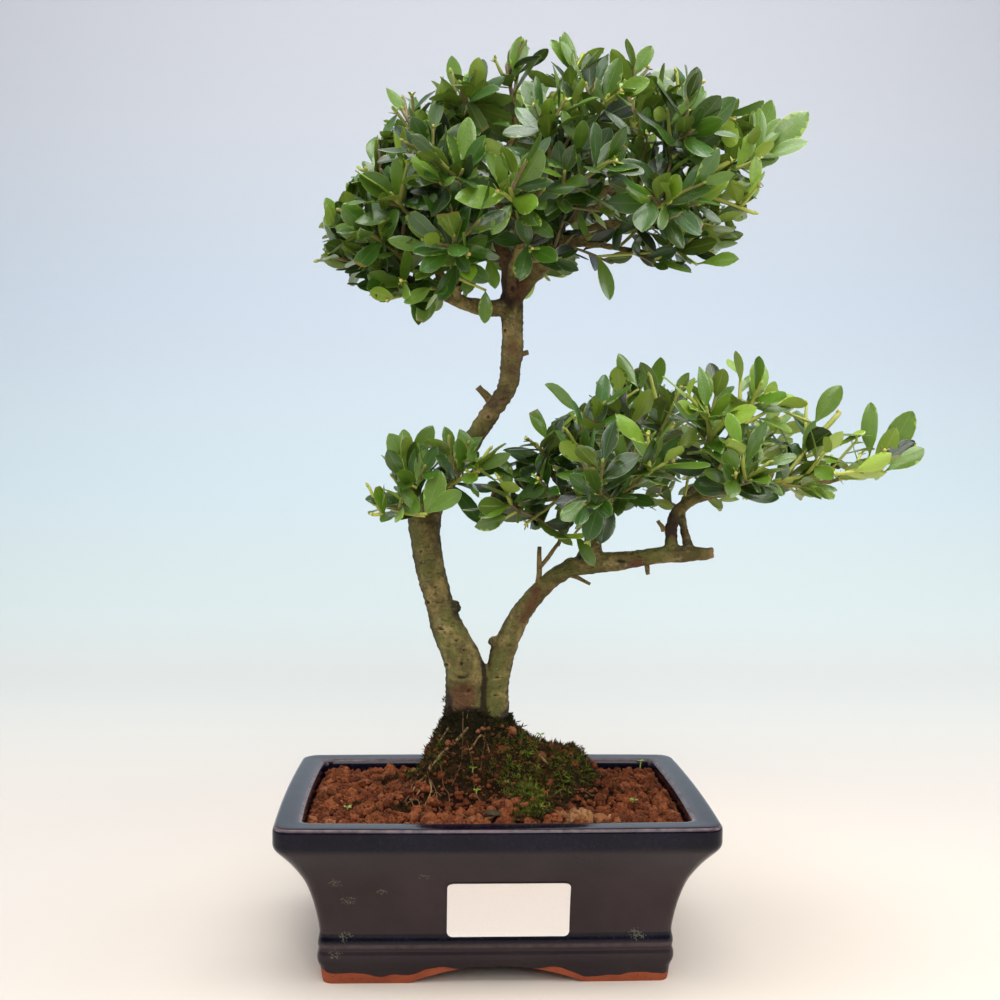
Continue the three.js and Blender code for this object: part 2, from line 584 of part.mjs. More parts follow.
// Leaf number j on a stem, counted back from its tip
function leafOf(index, stem, j, extraLean) {
  const back = LEAF_START + LEAF_SPACING * j
  const root = stem.end.clone().addScaledVector(stem.axis, -back)
  const turn = 2 * Math.PI * draw(index, 0, 0, 6) + j * LEAF_TURN
  const lean = THREE.MathUtils.degToRad(
    Math.min(LEAN_AT_TIP + LEAN_STEP * j, LEAN_LIMIT) + LEAN_SPREAD * draw(index, 0, j, 7) + extraLean,
  )
  const along = tilted(stem.axis, turn, lean)
  const up = stem.axis.clone().addScaledVector(new THREE.Vector3(0, 0, 1), 0.8)
  up.addScaledVector(along, -up.dot(along)).normalize()
  const young = j === 0 ? TIP_LEAF_SHARE : 1
  const length = LEAF_LENGTH * young * (0.88 + 0.24 * draw(index, 0, j, 8))
  return { root, along, up, length, width: length * LEAF_SLENDERNESS, curl: 0.05 + 0.1 * draw(index, 0, j, 9) }
}

// One blade, curled back along its length, with its midrib as a keel below:
// [share of length, share of half width, share of the keel's depth]
const BLADE_STATIONS = [[0.46, 0.96, 1], [0.82, 0.78, 0.75]]

function bladeSolid(leaf, from = 0) {
  const side = leaf.up.clone().cross(leaf.along)
  const place = (share, across, below) => leaf.root.clone()
    .addScaledVector(leaf.along, share * leaf.length)
    .addScaledVector(side, across * leaf.width / 2)
    .addScaledVector(leaf.up, LEAF_RIB / 2 - below - leaf.curl * share * share * leaf.length)
  const corners = [place(from, 0, 0), place(from, 0, LEAF_NECK)]
  for (const [share, wide, deep] of BLADE_STATIONS) {
    corners.push(place(share, wide, 0), place(share, -wide, 0), place(share, 0, deep * LEAF_RIB))
  }
  corners.push(place(1, 0, 0))
  const triangles = [
    [0, 3, 2], [2, 3, 6], [2, 6, 5], [5, 6, 8],
    [0, 1, 3], [1, 4, 3], [3, 4, 7], [3, 7, 6], [6, 7, 8],
    [0, 2, 1], [1, 2, 4], [2, 7, 4], [2, 5, 7], [5, 8, 7],
  ]
  return toSolid(meshGeometry(corners, triangles))
}

// The same leaf, a little broader and moved off its own plane, to test the room round it
function besideLeaf(leaf, shift) {
  return { ...leaf, root: leaf.root.clone().addScaledVector(leaf.up, shift), width: leaf.width + 2 * LEAF_ROOM }
}

// Whether a trial solid stays out of every solid already placed
function isClear(trial, placed) {
  const box = trial.boundingBox()
  return placed.every(other => {
    const apart = [0, 1, 2].some(axis => other.box.max[axis] < box.min[axis] || other.box.min[axis] > box.max[axis])
    return apart || trial.intersect(other.solid).isEmpty()
  })
}

function boxed(solid, owner) {
  return { solid, owner, box: solid.boundingBox() }
}

// Stems first, then the leaves in rounds from every tip back, so that all sides fill evenly
function sprays(trunk) {
  const placed = [boxed(trunk, -1)]
  const stems = SPRAYS.map(stemOf)
  const pieces = stems.map(stem => [member([stem.start, stem.end], [STEM_RADIUS, STEM_TIP_RADIUS], 3, 0, 0)])
  pieces.forEach(([stem], index) => placed.push(boxed(stem, index)))
  for (let j = 0; j < LEAVES_PER_SPRAY; j += 1) {
    stems.forEach((stem, index) => {
      const others = placed.filter(other => other.owner !== index)
      const own = placed.filter(other => other.owner === index)
      const fit = LEAN_TRIALS.map(extraLean => leafOf(index, stem, j, extraLean)).find(leaf => (
        isClear(bladeSolid(leaf, 0.25), own)
        && [LEAF_ROOM, -LEAF_ROOM].every(shift => isClear(bladeSolid(besideLeaf(leaf, shift)), others))
      ))
      if (fit) {
        const blade = bladeSolid(fit)
        pieces[index].push(blade)
        placed.push(boxed(blade, index))
      }
    })
  }
  return pieces.map((solids, index) => part(`spray_${SPRAYS[index][0]}`, toGeometry(fuse(solids)), LEAF))
}

const bonsai = new THREE.Group()
bonsai.name = 'bonsai'
const trunk = trunkSolid()
bonsai.add(pot())
bonsai.add(drainScreen('drain_screen_left', -1))
bonsai.add(drainScreen('drain_screen_right', 1))
bonsai.add(soil())
bonsai.add(moss())
bonsai.add(label())
bonsai.add(part('trunk_and_branches', toGeometry(trunk), BARK))
bonsai.add(...sprays(trunk))
bonsai.position.copy(FRAME_SHIFT)

export default bonsai
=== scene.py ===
# Japanese holly bonsai in a glazed rectangular pot: every visible surface, built round the
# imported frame. Shapes are laid out in millimetres from the pot's centre on the table, then
# moved into the frame.
import math

import bmesh
import bpy
import numpy as np
from mathutils import Matrix, Vector


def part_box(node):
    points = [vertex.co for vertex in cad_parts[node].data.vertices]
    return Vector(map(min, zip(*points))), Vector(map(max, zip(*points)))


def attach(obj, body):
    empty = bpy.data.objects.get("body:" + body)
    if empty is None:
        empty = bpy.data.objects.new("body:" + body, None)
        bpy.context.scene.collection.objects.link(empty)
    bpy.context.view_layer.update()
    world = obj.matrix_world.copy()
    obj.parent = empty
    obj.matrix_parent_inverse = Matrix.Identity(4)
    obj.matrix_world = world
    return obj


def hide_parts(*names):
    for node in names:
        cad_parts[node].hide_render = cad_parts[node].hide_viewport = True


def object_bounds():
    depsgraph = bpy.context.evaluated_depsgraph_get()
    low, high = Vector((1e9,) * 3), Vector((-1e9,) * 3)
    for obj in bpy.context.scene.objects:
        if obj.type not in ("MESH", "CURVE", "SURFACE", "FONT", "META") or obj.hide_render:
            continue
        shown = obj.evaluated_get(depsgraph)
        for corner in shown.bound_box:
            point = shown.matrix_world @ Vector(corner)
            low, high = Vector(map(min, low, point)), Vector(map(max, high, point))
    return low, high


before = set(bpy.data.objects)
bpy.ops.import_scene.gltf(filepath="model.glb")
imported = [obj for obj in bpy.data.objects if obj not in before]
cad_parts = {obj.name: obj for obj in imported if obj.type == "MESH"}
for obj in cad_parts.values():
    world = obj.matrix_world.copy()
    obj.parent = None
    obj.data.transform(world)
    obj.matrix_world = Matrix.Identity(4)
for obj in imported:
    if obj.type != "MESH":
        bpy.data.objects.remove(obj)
cad_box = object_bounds()

# The middle of the pot in the frame, in metres
pot_low, pot_high = (np.array(corner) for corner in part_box("pot"))
SHIFT = np.array([(pot_low[0] + pot_high[0]) / 2, (pot_low[1] + pot_high[1]) / 2, 0])

# Driving dimensions, the same as the frame's
POT_LENGTH = 180
POT_DEPTH = 125
POT_HEIGHT = 69
RIM_BOW = 1.2
RIM_CORNER = 7
UNDERSIDE_Z = 7.4
FOOT_INSET = 18.8
FOOT_WIDTH = 9
ARCH_HEIGHT = 7.3
FRONT_ARCH_WIDTH = 72
SIDE_ARCH_WIDTH = 42
DRAIN_RADIUS = 6
DRAIN_SPACING = 64
SOIL_LEVEL = 64
TRUNK_SPOT = (-8, 0)
MOUND_TOP = 104
LABEL_WIDTH = 50
LABEL_LEFT = -20.5
LABEL_BOTTOM = 19.9
LABEL_TOP = 43.8
LABEL_CORNER = 2.2

# How far the label's face and back stand off the wall
LABEL_FACE = 0.62
LABEL_BACK = 0.38

# The photograph's viewpoint in millimetres, and how its lens and frame stand
EYE = np.array([-24.8, -564.9, 219.4])
CAMERA_AHEAD = (0.0467, 0.9989, 0)
CAMERA_PITCH = 0.0407
CAMERA_ROLL = 0.0098
LENS = 46.48
SENSOR_WIDTH = 36

# Leaves and shoots, as in the frame's foliage
LEAF_LENGTH = 19.5
LEAF_SLENDERNESS = 0.5
LEAF_START = 1
LEAF_SPACING = 4
LEAF_TURN = math.radians(137.5)
STEM_LENGTH = 30
LEAVES_PER_SPRAY = 8

# The three parts of the foliage: middle, reach, how far apart their shoots stand on branches and
# on limbs, and how young their leaves are
FOLIAGE_CENTRE = {
    "crown": np.array([18.0, 2, 312]),
    "pad": np.array([75.0, -5, 195]),
    "trunk": np.array([-30.0, 2, 185]),
}
FOLIAGE_REACH = {"crown": (100, 66, 60), "pad": (90, 55, 34), "trunk": (32, 28, 22)}
SIDE_SPACING = {"crown": 8.5, "pad": 9.5, "trunk": 13}
INNER_SPACING = {"crown": 6, "pad": 7.5}
FRESHNESS = {"crown": 0.12, "pad": 0.2, "trunk": 0.26}

# Shoots right of FRESH_X are fresher, and those right of SPARSE_X carry fewer leaves
FRESH_X = 85
SPARSE_X = 130
CUT_CLEARANCE = 11
EDGE_LENGTH = 21

# Where the numbers start by which inner and edge shoots make their draws
INNER_KEY = 200
FIRST_INNER = 40
FIRST_EDGE = 60

# What each repeatable draw decides
TURN_DRAW, LEAN_DRAW, SIZE_DRAW, CURL_DRAW = 6, 7, 8, 9
SIDE_PLACE, SIDE_TURN, SIDE_LEAN, SIDE_LENGTH, SIDE_SCALE = 20, 21, 22, 23, 24
INNER_TURN, INNER_LEAN, INNER_LENGTH, INNER_SCALE = 25, 26, 27, 28

# Detail of the wood's skin in metres, and how many small things lie about
WOOD_VOXEL = 0.00072
TWIG_END = 0.95
BED_STEPS = (6, 30, 20)
MOSS_SHOOTS = 15000
CLIMBING_SHOOTS = 1100
CRUMBS = 900
ROOTLETS = 46

# Seeds of the random numbers
SPRAY_SEED = 1000
SOIL_SEED = 7
MOSS_SEED = 11
LITTER_SEED = 23

# Material slots of the sprays and of the litter
STEM_SLOT = 1
LITTER_BARK, LITTER_STONE, LITTER_LEAF, LITTER_STEM = 1, 2, 3, 4

# A millimetre in metres, the 32 bits that the draws keep, and upwards
MM = 0.001
MASK = 0xFFFFFFFF
UP = np.array([0, 0, 1.0])

# The limbs as centre lines, each point [x, y, z, radius]
LIMBS = {
    "trunk": [
        [-10, 0, 97, 8.2], [-12.8, 0, 112, 8.6], [-13.4, 0, 123.7, 8.7], [-20.7, 1, 139, 7.3],
        [-23.6, 2, 147.4, 6.3], [-26.6, 2.5, 158, 6.1], [-30, 3.5, 172.5, 6.5],
        [-31.4, 3.5, 187.5, 7.3], [-28.3, 2, 195, 6.2], [-23.6, 1, 201.5, 5],
        [-14.6, -0.5, 216.5, 4.4], [-2.2, 0, 235.6, 4.5], [4.4, 1, 246.5, 4.7],
        [6.1, 0.5, 262, 4.9], [6, 0, 286, 5.1],
    ],
    "right_limb": [
        [-2.5, -0.5, 97, 6.2], [0.2, -0.5, 112, 5.6], [2.3, -0.5, 123.6, 5.4],
        [4.4, -1, 131.6, 5.7], [10.7, -3, 146.2, 4.5], [16.7, -4, 154.6, 4], [22.8, -5, 161, 3.9],
        [30.4, -6, 166.3, 3.8], [38.5, -8, 169, 4.3], [54, -10, 170.7, 4.1], [66, -12, 172.8, 3.5],
        [75.5, -12, 174, 3.8], [93.8, -13, 174.8, 2.5],
    ],
    "crown_left": [
        [6, 0, 281.5, 4], [-3, -3, 279.5, 3.6], [-14, -6, 281, 3.2], [-24, -8, 285, 2.8],
        [-32, -8, 288, 2.5], [-45, -8, 293, 2], [-58, -5, 295.5, 1.6],
    ],
    "crown_left_rise": [
        [-24, -8, 285, 2.2], [-27, -4, 306, 1.9], [-26, 2, 330, 1.6], [-22, 3, 346, 1.3],
    ],
    "crown_middle": [
        [6, 0, 283, 4.2], [4.6, 1, 297, 3.9], [1.5, 2, 306, 3.5], [-1, 4, 322, 2.9],
        [2, 6, 342, 2.3], [7, 5, 360, 1.6],
    ],
    "crown_right": [
        [6, 0, 284, 4.4], [12, -1, 292, 4.1], [20, -2, 300, 3.8], [26, -2, 307, 3.6],
        [30, -2, 309, 3],
    ],
    "crown_right_rise": [
        [26, -2, 306, 2.8], [25.5, -2, 317, 2.6], [28, -1, 334, 2.1], [33, 0, 352, 1.6],
    ],
    "crown_right_upper": [
        [27, -2, 320, 2], [46, -4, 331, 1.9], [60, -8, 336, 1.7], [72, -10, 344, 1.4],
    ],
    "crown_right_mid": [
        [29, -2, 309, 2.5], [46, -5, 316, 2], [59, -7, 316.5, 1.7], [71, -8, 324, 1.4],
        [84, -10, 330, 1.2],
    ],
    "crown_right_low": [
        [29, -2, 308, 1.7], [40, -2, 308, 1.5], [54, -3, 306, 1.3], [70, -5, 303, 1.1],
    ],
    "crown_front": [[6, 0, 285, 2.8], [5, -14, 296, 2.3], [10, -27, 308, 1.9], [20, -34, 322, 1.5]],
    "crown_back": [[6, 0, 286, 3], [10, 14, 300, 2.5], [17, 27, 314, 2.1], [27, 38, 330, 1.6]],
    "crown_back_left": [[5, 2, 300, 2.2], [-10, 16, 308, 1.9], [-24, 28, 318, 1.5]],
    "crown_back_right": [[26, -1, 316, 2.2], [42, 14, 326, 1.8], [60, 26, 336, 1.4]],
    "pad_left": [
        [42, -8, 170, 4], [41, -8, 183, 3.5], [38, -9, 193, 2.8], [30, -9, 201, 2.2],
        [23, -11, 209, 1.6],
    ],
    "pad_middle": [
        [40, -9, 188, 2.4], [50, -12, 197, 2.1], [60, -14, 206, 1.8], [68, -16, 216, 1.4],
    ],
    "pad_back": [[41, -7, 185, 2.3], [47, 6, 193, 2], [56, 16, 203, 1.6]],
    "pad_front": [[40, -9, 190, 2], [41, -24, 194, 1.6], [46, -36, 198, 1.2]],
    "pad_right": [
        [75.5, -12, 173, 3.2], [75.5, -12, 186, 2.8], [78, -13, 193, 2.6], [87, -14, 199, 2.3],
        [100, -14, 202, 2], [116, -13, 204, 1.8], [132, -12, 205, 1.5], [146, -9, 206, 1.2],
    ],
    "pad_right_rise": [[86, -13, 198, 1.9], [92, -14, 208, 1.7], [98, -16, 222, 1.3]],
    "pad_right_back": [
        [84, -12, 174, 2.3], [82, -4, 186, 2], [84, 8, 196, 1.8], [96, 20, 205, 1.6],
        [112, 28, 211, 1.3],
    ],
}

# Cut stubs, dead twigs and the forked twig on the bare wood
STUBS = [
    [[-3, 0, 239.5, 1.9], [-8.3, -1, 245.6, 1.5]],
    [[8, 0, 259.6, 1.5], [13.6, 0, 261, 1]],
    [[64, -12, 171, 1.3], [65.6, -12.8, 165.2, 0.8]],
    [[32, -7, 164.5, 1.2], [41, -9.5, 160.6, 0.7]],
    [[18.2, -5, 158, 1.5], [19, -6.5, 176.5, 0.9]],
    [[18.6, -5.5, 167, 1], [27, -7.5, 178, 0.8]],
    [[26.6, -7.4, 177, 0.9], [28.6, -8.5, 186, 0.7]],
    [[72, -12, 184, 1.2], [69.5, -12.6, 188.5, 0.8]],
]

# Knots and pruning knobs: [x, y, z, radius]
KNOBS = [
    [-18, -1, 149.6, 3.1], [-1, -1.5, 134.4, 2.3], [38.5, -9.5, 172.4, 4.4], [-31, -3, 185.5, 3.6],
    [-13.6, -7.2, 117.5, 3], [54, -13, 170, 2.6], [4, -3.4, 303, 2.4],
]

# Leafy sprays: name, the limb and the point along it where the branch leaves, and the leading tip
SPRAYS = [
    ["crown_left_front", "crown_left", 3.6, [-54, -31, 307]],
    ["crown_left_rear", "crown_left", 5.6, [-66, 4, 322]],
    ["crown_left_end", "crown_left", 6, [-70, -8, 300]],
    ["crown_left_below", "crown_left", 4.2, [-45, -20, 284]],
    ["crown_left_shoulder", "crown_left", 4.6, [-55, 6, 342]],
    ["crown_left_high", "crown_left_rise", 2.2, [-42, -3, 364]],
    ["crown_left_face", "crown_left_rise", 0.8, [-45, -44, 320]],
    ["crown_face_low", "crown_left", 2.4, [-20, -60, 301]],
    ["crown_face_left", "crown_left_rise", 1.1, [-17, -57, 327]],
    ["crown_face_middle", "crown_front", 1.8, [1, -63, 321]],
    ["crown_face_upper", "crown_left_rise", 1.7, [-30, -41, 337]],
    ["crown_face_top", "crown_front", 3, [17, -46, 351]],
    ["crown_face_right", "crown_front", 2.4, [40, -55, 332]],
    ["crown_face_right_top", "crown_right_rise", 2, [42, -38, 362]],
    ["crown_top_left", "crown_left_rise", 3, [-15, -26, 364]],
    ["crown_top_middle", "crown_middle", 5, [3, 2, 385]],
    ["crown_top_right", "crown_right_rise", 3, [31, 6, 386]],
    ["crown_top_far_right", "crown_right_upper", 2, [57, 0, 382]],
    ["crown_right_top", "crown_right_upper", 3, [80, -9, 373]],
    ["crown_right_face", "crown_right_upper", 2.4, [75, -47, 347]],
    ["crown_right_below_face", "crown_right_mid", 2.2, [66, -50, 318]],
    ["crown_right_cut_low", "crown_right_mid", 2.3, [96, -22, 341]],
    ["crown_right_cut_far", "crown_right_mid", 4, [115, -7, 348]],
    ["crown_right_end", "crown_right_mid", 3.9, [108, -18, 320]],
    ["crown_right_low_end", "crown_right_low", 3, [93, 0, 309]],
    ["crown_right_shoulder", "crown_right_upper", 3, [107, 24, 364]],
    ["crown_back_left_side", "crown_back_left", 2, [-50, 40, 329]],
    ["crown_back_left_top", "crown_back_left", 1.7, [-25, 44, 363]],
    ["crown_back_top", "crown_back", 3, [16, 52, 377]],
    ["crown_back_right_top", "crown_back_right", 1.6, [54, 46, 378]],
    ["crown_back_right_side", "crown_back_right", 2, [86, 46, 334]],
    ["crown_back_middle", "crown_back", 2.5, [46, 68, 337]],
    ["crown_back_middle_left", "crown_back", 1.6, [-6, 64, 330]],
    ["crown_back_low", "crown_back", 1.2, [24, 58, 303]],
    ["pad_left_tip", "pad_left", 4, [20, -18, 219]],
    ["pad_left_low", "pad_left", 2.6, [0, -22, 194]],
    ["pad_left_rise", "pad_left", 2.4, [36, -30, 230]],
    ["pad_middle_rise", "pad_middle", 2, [53, -13, 240]],
    ["pad_front_left", "pad_front", 2, [37, -54, 201]],
    ["pad_middle_top", "pad_middle", 3, [72, 2, 242]],
    ["pad_right_face", "pad_right_rise", 1, [84, -40, 236]],
    ["pad_front_middle", "pad_front", 1.2, [66, -47, 214]],
    ["pad_back_left", "pad_back", 1.4, [46, 38, 221]],
    ["pad_back_right", "pad_back", 2, [86, 44, 231]],
    ["pad_right_top", "pad_right_rise", 2, [109, -19, 241]],
    ["pad_front_right", "pad_right", 3.6, [101, -47, 207]],
    ["pad_cut_high", "pad_right", 5.4, [148, -10, 236]],
    ["pad_cut_low", "pad_right", 5, [140, -30, 210]],
    ["pad_far_end", "pad_right", 7, [171, -3, 210]],
    ["pad_back_end", "pad_right_back", 4, [134, 40, 222]],
    ["trunk_left", "trunk", 7.2, [-53, -22, 191]],
    ["trunk_middle", "trunk", 7.3, [-40, -21, 206]],
    ["trunk_right", "trunk", 8.6, [-8, -26, 210]],
]


# Draws, vectors and curves

def draw(spray, shoot, leaf, purpose):
    """A repeatable draw between 0 and 1, by the same rule as the frame's leaves."""
    mixed = ((spray + 1) * 374761393 & MASK) ^ ((shoot + 1) * 668265263 & MASK)
    mixed ^= ((leaf + 1) * 2246822519 & MASK) ^ ((purpose + 1) * 3266489917 & MASK)
    mixed = (mixed ^ (mixed >> 15)) * 2246822519 & MASK
    mixed = (mixed ^ (mixed >> 13)) * 3266489917 & MASK
    return ((mixed ^ (mixed >> 16)) & MASK) / 4294967296


def unit(vector):
    return vector / max(np.linalg.norm(vector), 1e-9)


def square_to(vector, axis):
    """The part of vector that is square to a unit axis, as a unit vector."""
    return unit(vector - np.dot(vector, axis) * axis)


def smooth_line(rows, step):
    """A curve through rows of [x, y, z, radius], resampled about every step millimetres."""
    rows = np.array(rows, float)
    padded = np.vstack([2 * rows[0] - rows[1], rows, 2 * rows[-1] - rows[-2]])
    line = [rows[0]]
    for index in range(len(rows) - 1):
        a, b, c, d = padded[index:index + 4]
        count = max(2, math.ceil(np.linalg.norm((c - b)[:3]) / step))
        for share in np.arange(1, count + 1) / count:
            line.append(0.5 * (2 * b + (c - a) * share + (2 * a - 5 * b + 4 * c - d) * share ** 2
                               + (3 * b - a - 3 * c + d) * share ** 3))
    return np.array(line)


def ring_quads(levels, count):
    """The quads between rings of count points each, laid one over the other."""
    level = np.arange(levels - 1)[:, None] * count
    here = np.arange(count)[None, :]
    after = (here + 1) % count
    quads = [level + here, level + after, level + count + after, level + count + here]
    return np.stack(quads, -1).reshape(-1, 4)


def skin(rings, low, high):
    """Points, quads and end fans of a closed skin over rings, with a middle point at each end."""
    count = len(rings[0])
    points = np.vstack([*rings, low[None], high[None]])
    start, end = len(points) - 2, len(points) - 1
    last = (len(rings) - 1) * count
    fans = [[start, (i + 1) % count, i] for i in range(count)]
    fans += [[end, last + i, last + (i + 1) % count] for i in range(count)]
    return points, ring_quads(len(rings), count), np.array(fans)


def tube(line, sides):
    """The skin of a round tube along a line of [x, y, z, radius]."""
    centres, radii = line[:, :3], line[:, 3]
    along = np.gradient(centres, axis=0)
    across = np.array([0.31, -0.95, 0.05])
    angles = np.arange(sides) / sides * 2 * math.pi
    rings = []
    for centre, radius, direction in zip(centres, radii, along):
        direction = unit(direction)
        across = square_to(across, direction)
        third = np.cross(direction, across)
        ring = np.outer(np.cos(angles), across) + np.outer(np.sin(angles), third)
        rings.append(centre + radius * ring)
    return skin(rings, centres[0], centres[-1])


class Shell:
    """The points, faces, material slots and per-point values of a piece under construction."""

    def __init__(self):
        self.points, self.faces, self.slots, self.tints, self.places = [], [], [], [], []
        self.count = 0

    def add(self, points, *faces, slot=0, tint=(0, 0, 0, 0), place=(0, 0)):
        points = np.asarray(points, float)
        self.points.append(points)
        self.tints.append(np.broadcast_to(np.asarray(tint, float), (len(points), 4)))
        self.places.append(np.broadcast_to(np.asarray(place, float), (len(points), 2)))
        for group in faces:
            self.faces.append(np.asarray(group) + self.count)
            self.slots.append(np.full(len(group), slot))
        self.count += len(points)

    def build(self, name, materials, smooth=True):
        """The finished object, with the attributes 'tint' and 'place' for its materials."""
        points = np.vstack(self.points) * MM + SHIFT
        corners = np.concatenate([group.ravel() for group in self.faces])
        sizes = np.concatenate([np.full(len(group), group.shape[1]) for group in self.faces])
        mesh = bpy.data.meshes.new(name)
        mesh.vertices.add(len(points))
        mesh.vertices.foreach_set("co", points.ravel())
        mesh.loops.add(len(corners))
        mesh.loops.foreach_set("vertex_index", corners)
        mesh.polygons.add(len(sizes))
        mesh.polygons.foreach_set("loop_start", np.concatenate([[0], np.cumsum(sizes)[:-1]]))
        mesh.polygons.foreach_set("material_index", np.concatenate(self.slots))
        mesh.update(calc_edges=True)
        tint = mesh.attributes.new("tint", "FLOAT_COLOR", "POINT")
        tint.data.foreach_set("color", np.vstack(self.tints).ravel())
        place = mesh.uv_layers.new(name="place")
        place.data.foreach_set("uv", np.vstack(self.places)[corners].ravel())
        mesh.polygons.foreach_set("use_smooth", np.full(len(sizes), smooth))
        mesh.validate()
        return placed(mesh, name, materials)


def placed(mesh, name, materials):
    for look in materials:
        mesh.materials.append(look)
    piece = bpy.data.objects.new(name, mesh)
    bpy.context.scene.collection.objects.link(piece)
    return piece


def finish_piece(piece, *nodes, slot):
    """The piece rides on the object's one body and stands for the given nodes."""
    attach(piece, "root")
    if nodes:
        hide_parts(*nodes)
    return piece


# Material nodes

class Look:
    """A node material built round one Principled shader."""

    def __init__(self, name):
        self.material = bpy.data.materials.new(name)
        self.material.use_nodes = True
        self.tree = self.material.node_tree
        self.shader = self.tree.nodes["Principled BSDF"]
        self.where = self.put("ShaderNodeTexCoord").outputs["Object"]

    def put(self, kind, inputs=None, **settings):
        made = self.tree.nodes.new(kind)
        for key, value in settings.items():
            setattr(made, key, value)
        for key, value in (inputs or {}).items():
            self.feed(made.inputs[key], value)
        return made

    def feed(self, socket, value):
        if isinstance(value, bpy.types.NodeSocket):
            self.tree.links.new(value, socket)
        else:
            socket.default_value = value

    def set(self, **values):
        for key, value in values.items():
            self.feed(self.shader.inputs[key.replace("_", " ")], value)

    def scaled(self, tall):
        """The place on the object, with its height scaled."""
        if tall == 1:
            return self.where
        made = self.put("ShaderNodeMapping", {"Vector": self.where, "Scale": (1, 1, tall)})
        return made.outputs["Vector"]

    def noise(self, per_mm, detail=4, roughness=0.55, tall=1, distortion=0):
        return self.put("ShaderNodeTexNoise", {
            "Vector": self.scaled(tall), "Scale": per_mm * 1000, "Detail": detail,
            "Roughness": roughness, "Distortion": distortion,
        }).outputs["Fac"]

    def cells(self, per_mm, tall=1):
        inputs = {"Vector": self.scaled(tall), "Scale": per_mm * 1000}
        return self.put("ShaderNodeTexVoronoi", inputs).outputs["Distance"]

    def ramp(self, value, low, high, to_low=0.0, to_high=1.0):
        return self.put("ShaderNodeMapRange", {
            "Value": value, "From Min": low, "From Max": high, "To Min": to_low, "To Max": to_high,
        }, interpolation_type="SMOOTHSTEP").outputs["Result"]

    def band(self, value, rise, fall):
        """A mask that rises between two values and falls between two others."""
        return self.calc("MULTIPLY", self.ramp(value, *rise), self.ramp(value, *fall))

    def ragged(self, value, texture, share, low, high, most=1.0):
        """A mask from a value whose edge a texture frays."""
        frayed = self.calc("ADD", value, self.calc("MULTIPLY", texture, share))
        return self.ramp(frayed, low, high, 0, most)

    def blend(self, amount, first, second):
        """A mix of two colours, each a socket or its 0 to 255 values."""
        made = self.put("ShaderNodeMix", {"Factor": amount}, data_type="RGBA")
        self.feed(made.inputs[6], colour(first))
        self.feed(made.inputs[7], colour(second))
        return made.outputs[2]

    def coats(self, base, *coats):
        """A colour with coats over it, each given as a mask and a colour."""
        for mask, tone in coats:
            base = self.blend(mask, base, tone)
        return base

    def calc(self, operation, first, second=0.0):
        made = self.put("ShaderNodeMath", operation=operation)
        self.feed(made.inputs[0], first)
        self.feed(made.inputs[1], second)
        return made.outputs[0]

    def axis(self, name, vector=None):
        return self.put("ShaderNodeSeparateXYZ", {"Vector": vector or self.where}).outputs[name]

    def mm(self, name):
        """Millimetres from the pot's centre along an axis."""
        place = self.calc("MULTIPLY", self.axis(name), 1000)
        return self.calc("SUBTRACT", place, float(SHIFT["XYZ".index(name)] * 1000))

    def tint(self):
        """The four values of the attribute 'tint'."""
        made = self.put("ShaderNodeAttribute", attribute_name="tint")
        split = self.put("ShaderNodeSeparateColor", {"Color": made.outputs["Color"]})
        return *(split.outputs[name] for name in ("Red", "Green", "Blue")), made.outputs["Alpha"]

    def place(self):
        made = self.put("ShaderNodeUVMap", uv_map="place").outputs["UV"]
        return self.axis("X", made), self.axis("Y", made)

    def bump(self, height, depth_mm, normal=None):
        inputs = {"Height": height, "Distance": depth_mm * MM, "Strength": 1.0}
        made = self.put("ShaderNodeBump", inputs)
        if normal:
            self.feed(made.inputs["Normal"], normal)
        return made.outputs["Normal"]


def colour(tone):
    """A shader colour from the 0 to 255 values that it shows on screen. A socket stays as it is."""
    if not isinstance(tone, tuple) or len(tone) == 4:
        return tone
    return tuple(((v / 255 + 0.055) / 1.055) ** 2.4 if v > 10 else v / 3295 for v in tone) + (1.0,)


# The pot

# The wall from the foot up over the lip and down its inner side: inset from the rim's edge, and
# height
POT_PROFILE = [
    [18.8, 0], [18.4, 2.2], [17.9, 5.8], [17.1, 8], [16.6, 9.8], [16.6, 12], [17.1, 14.2],
    [16.8, 16], [16.9, 17.8], [17.4, 20.6], [17.0, 24.5], [15.8, 30.8], [14.1, 37.2], [12.0, 43],
    [9.5, 47.6], [6.6, 52], [3.5, 55.9], [1.0, 59], [0.1, 61.2], [0, 63.5], [0, 66.9], [0.25, 68.2],
    [1.1, 69], [3.4, 69.1], [6.5, 69], [9.4, 68.9], [10.6, 68.4], [11.2, 67], [11.6, 64],
    [12.4, 60], [17.5, 45], [25.5, 13],
]


def corner_radius(inset):
    return max(3, RIM_CORNER - inset * 0.15)


def side_bow(z):
    """How far the middle of a side stands out at a height."""
    return RIM_BOW * min(max(z / POT_HEIGHT, 0.4), 1)


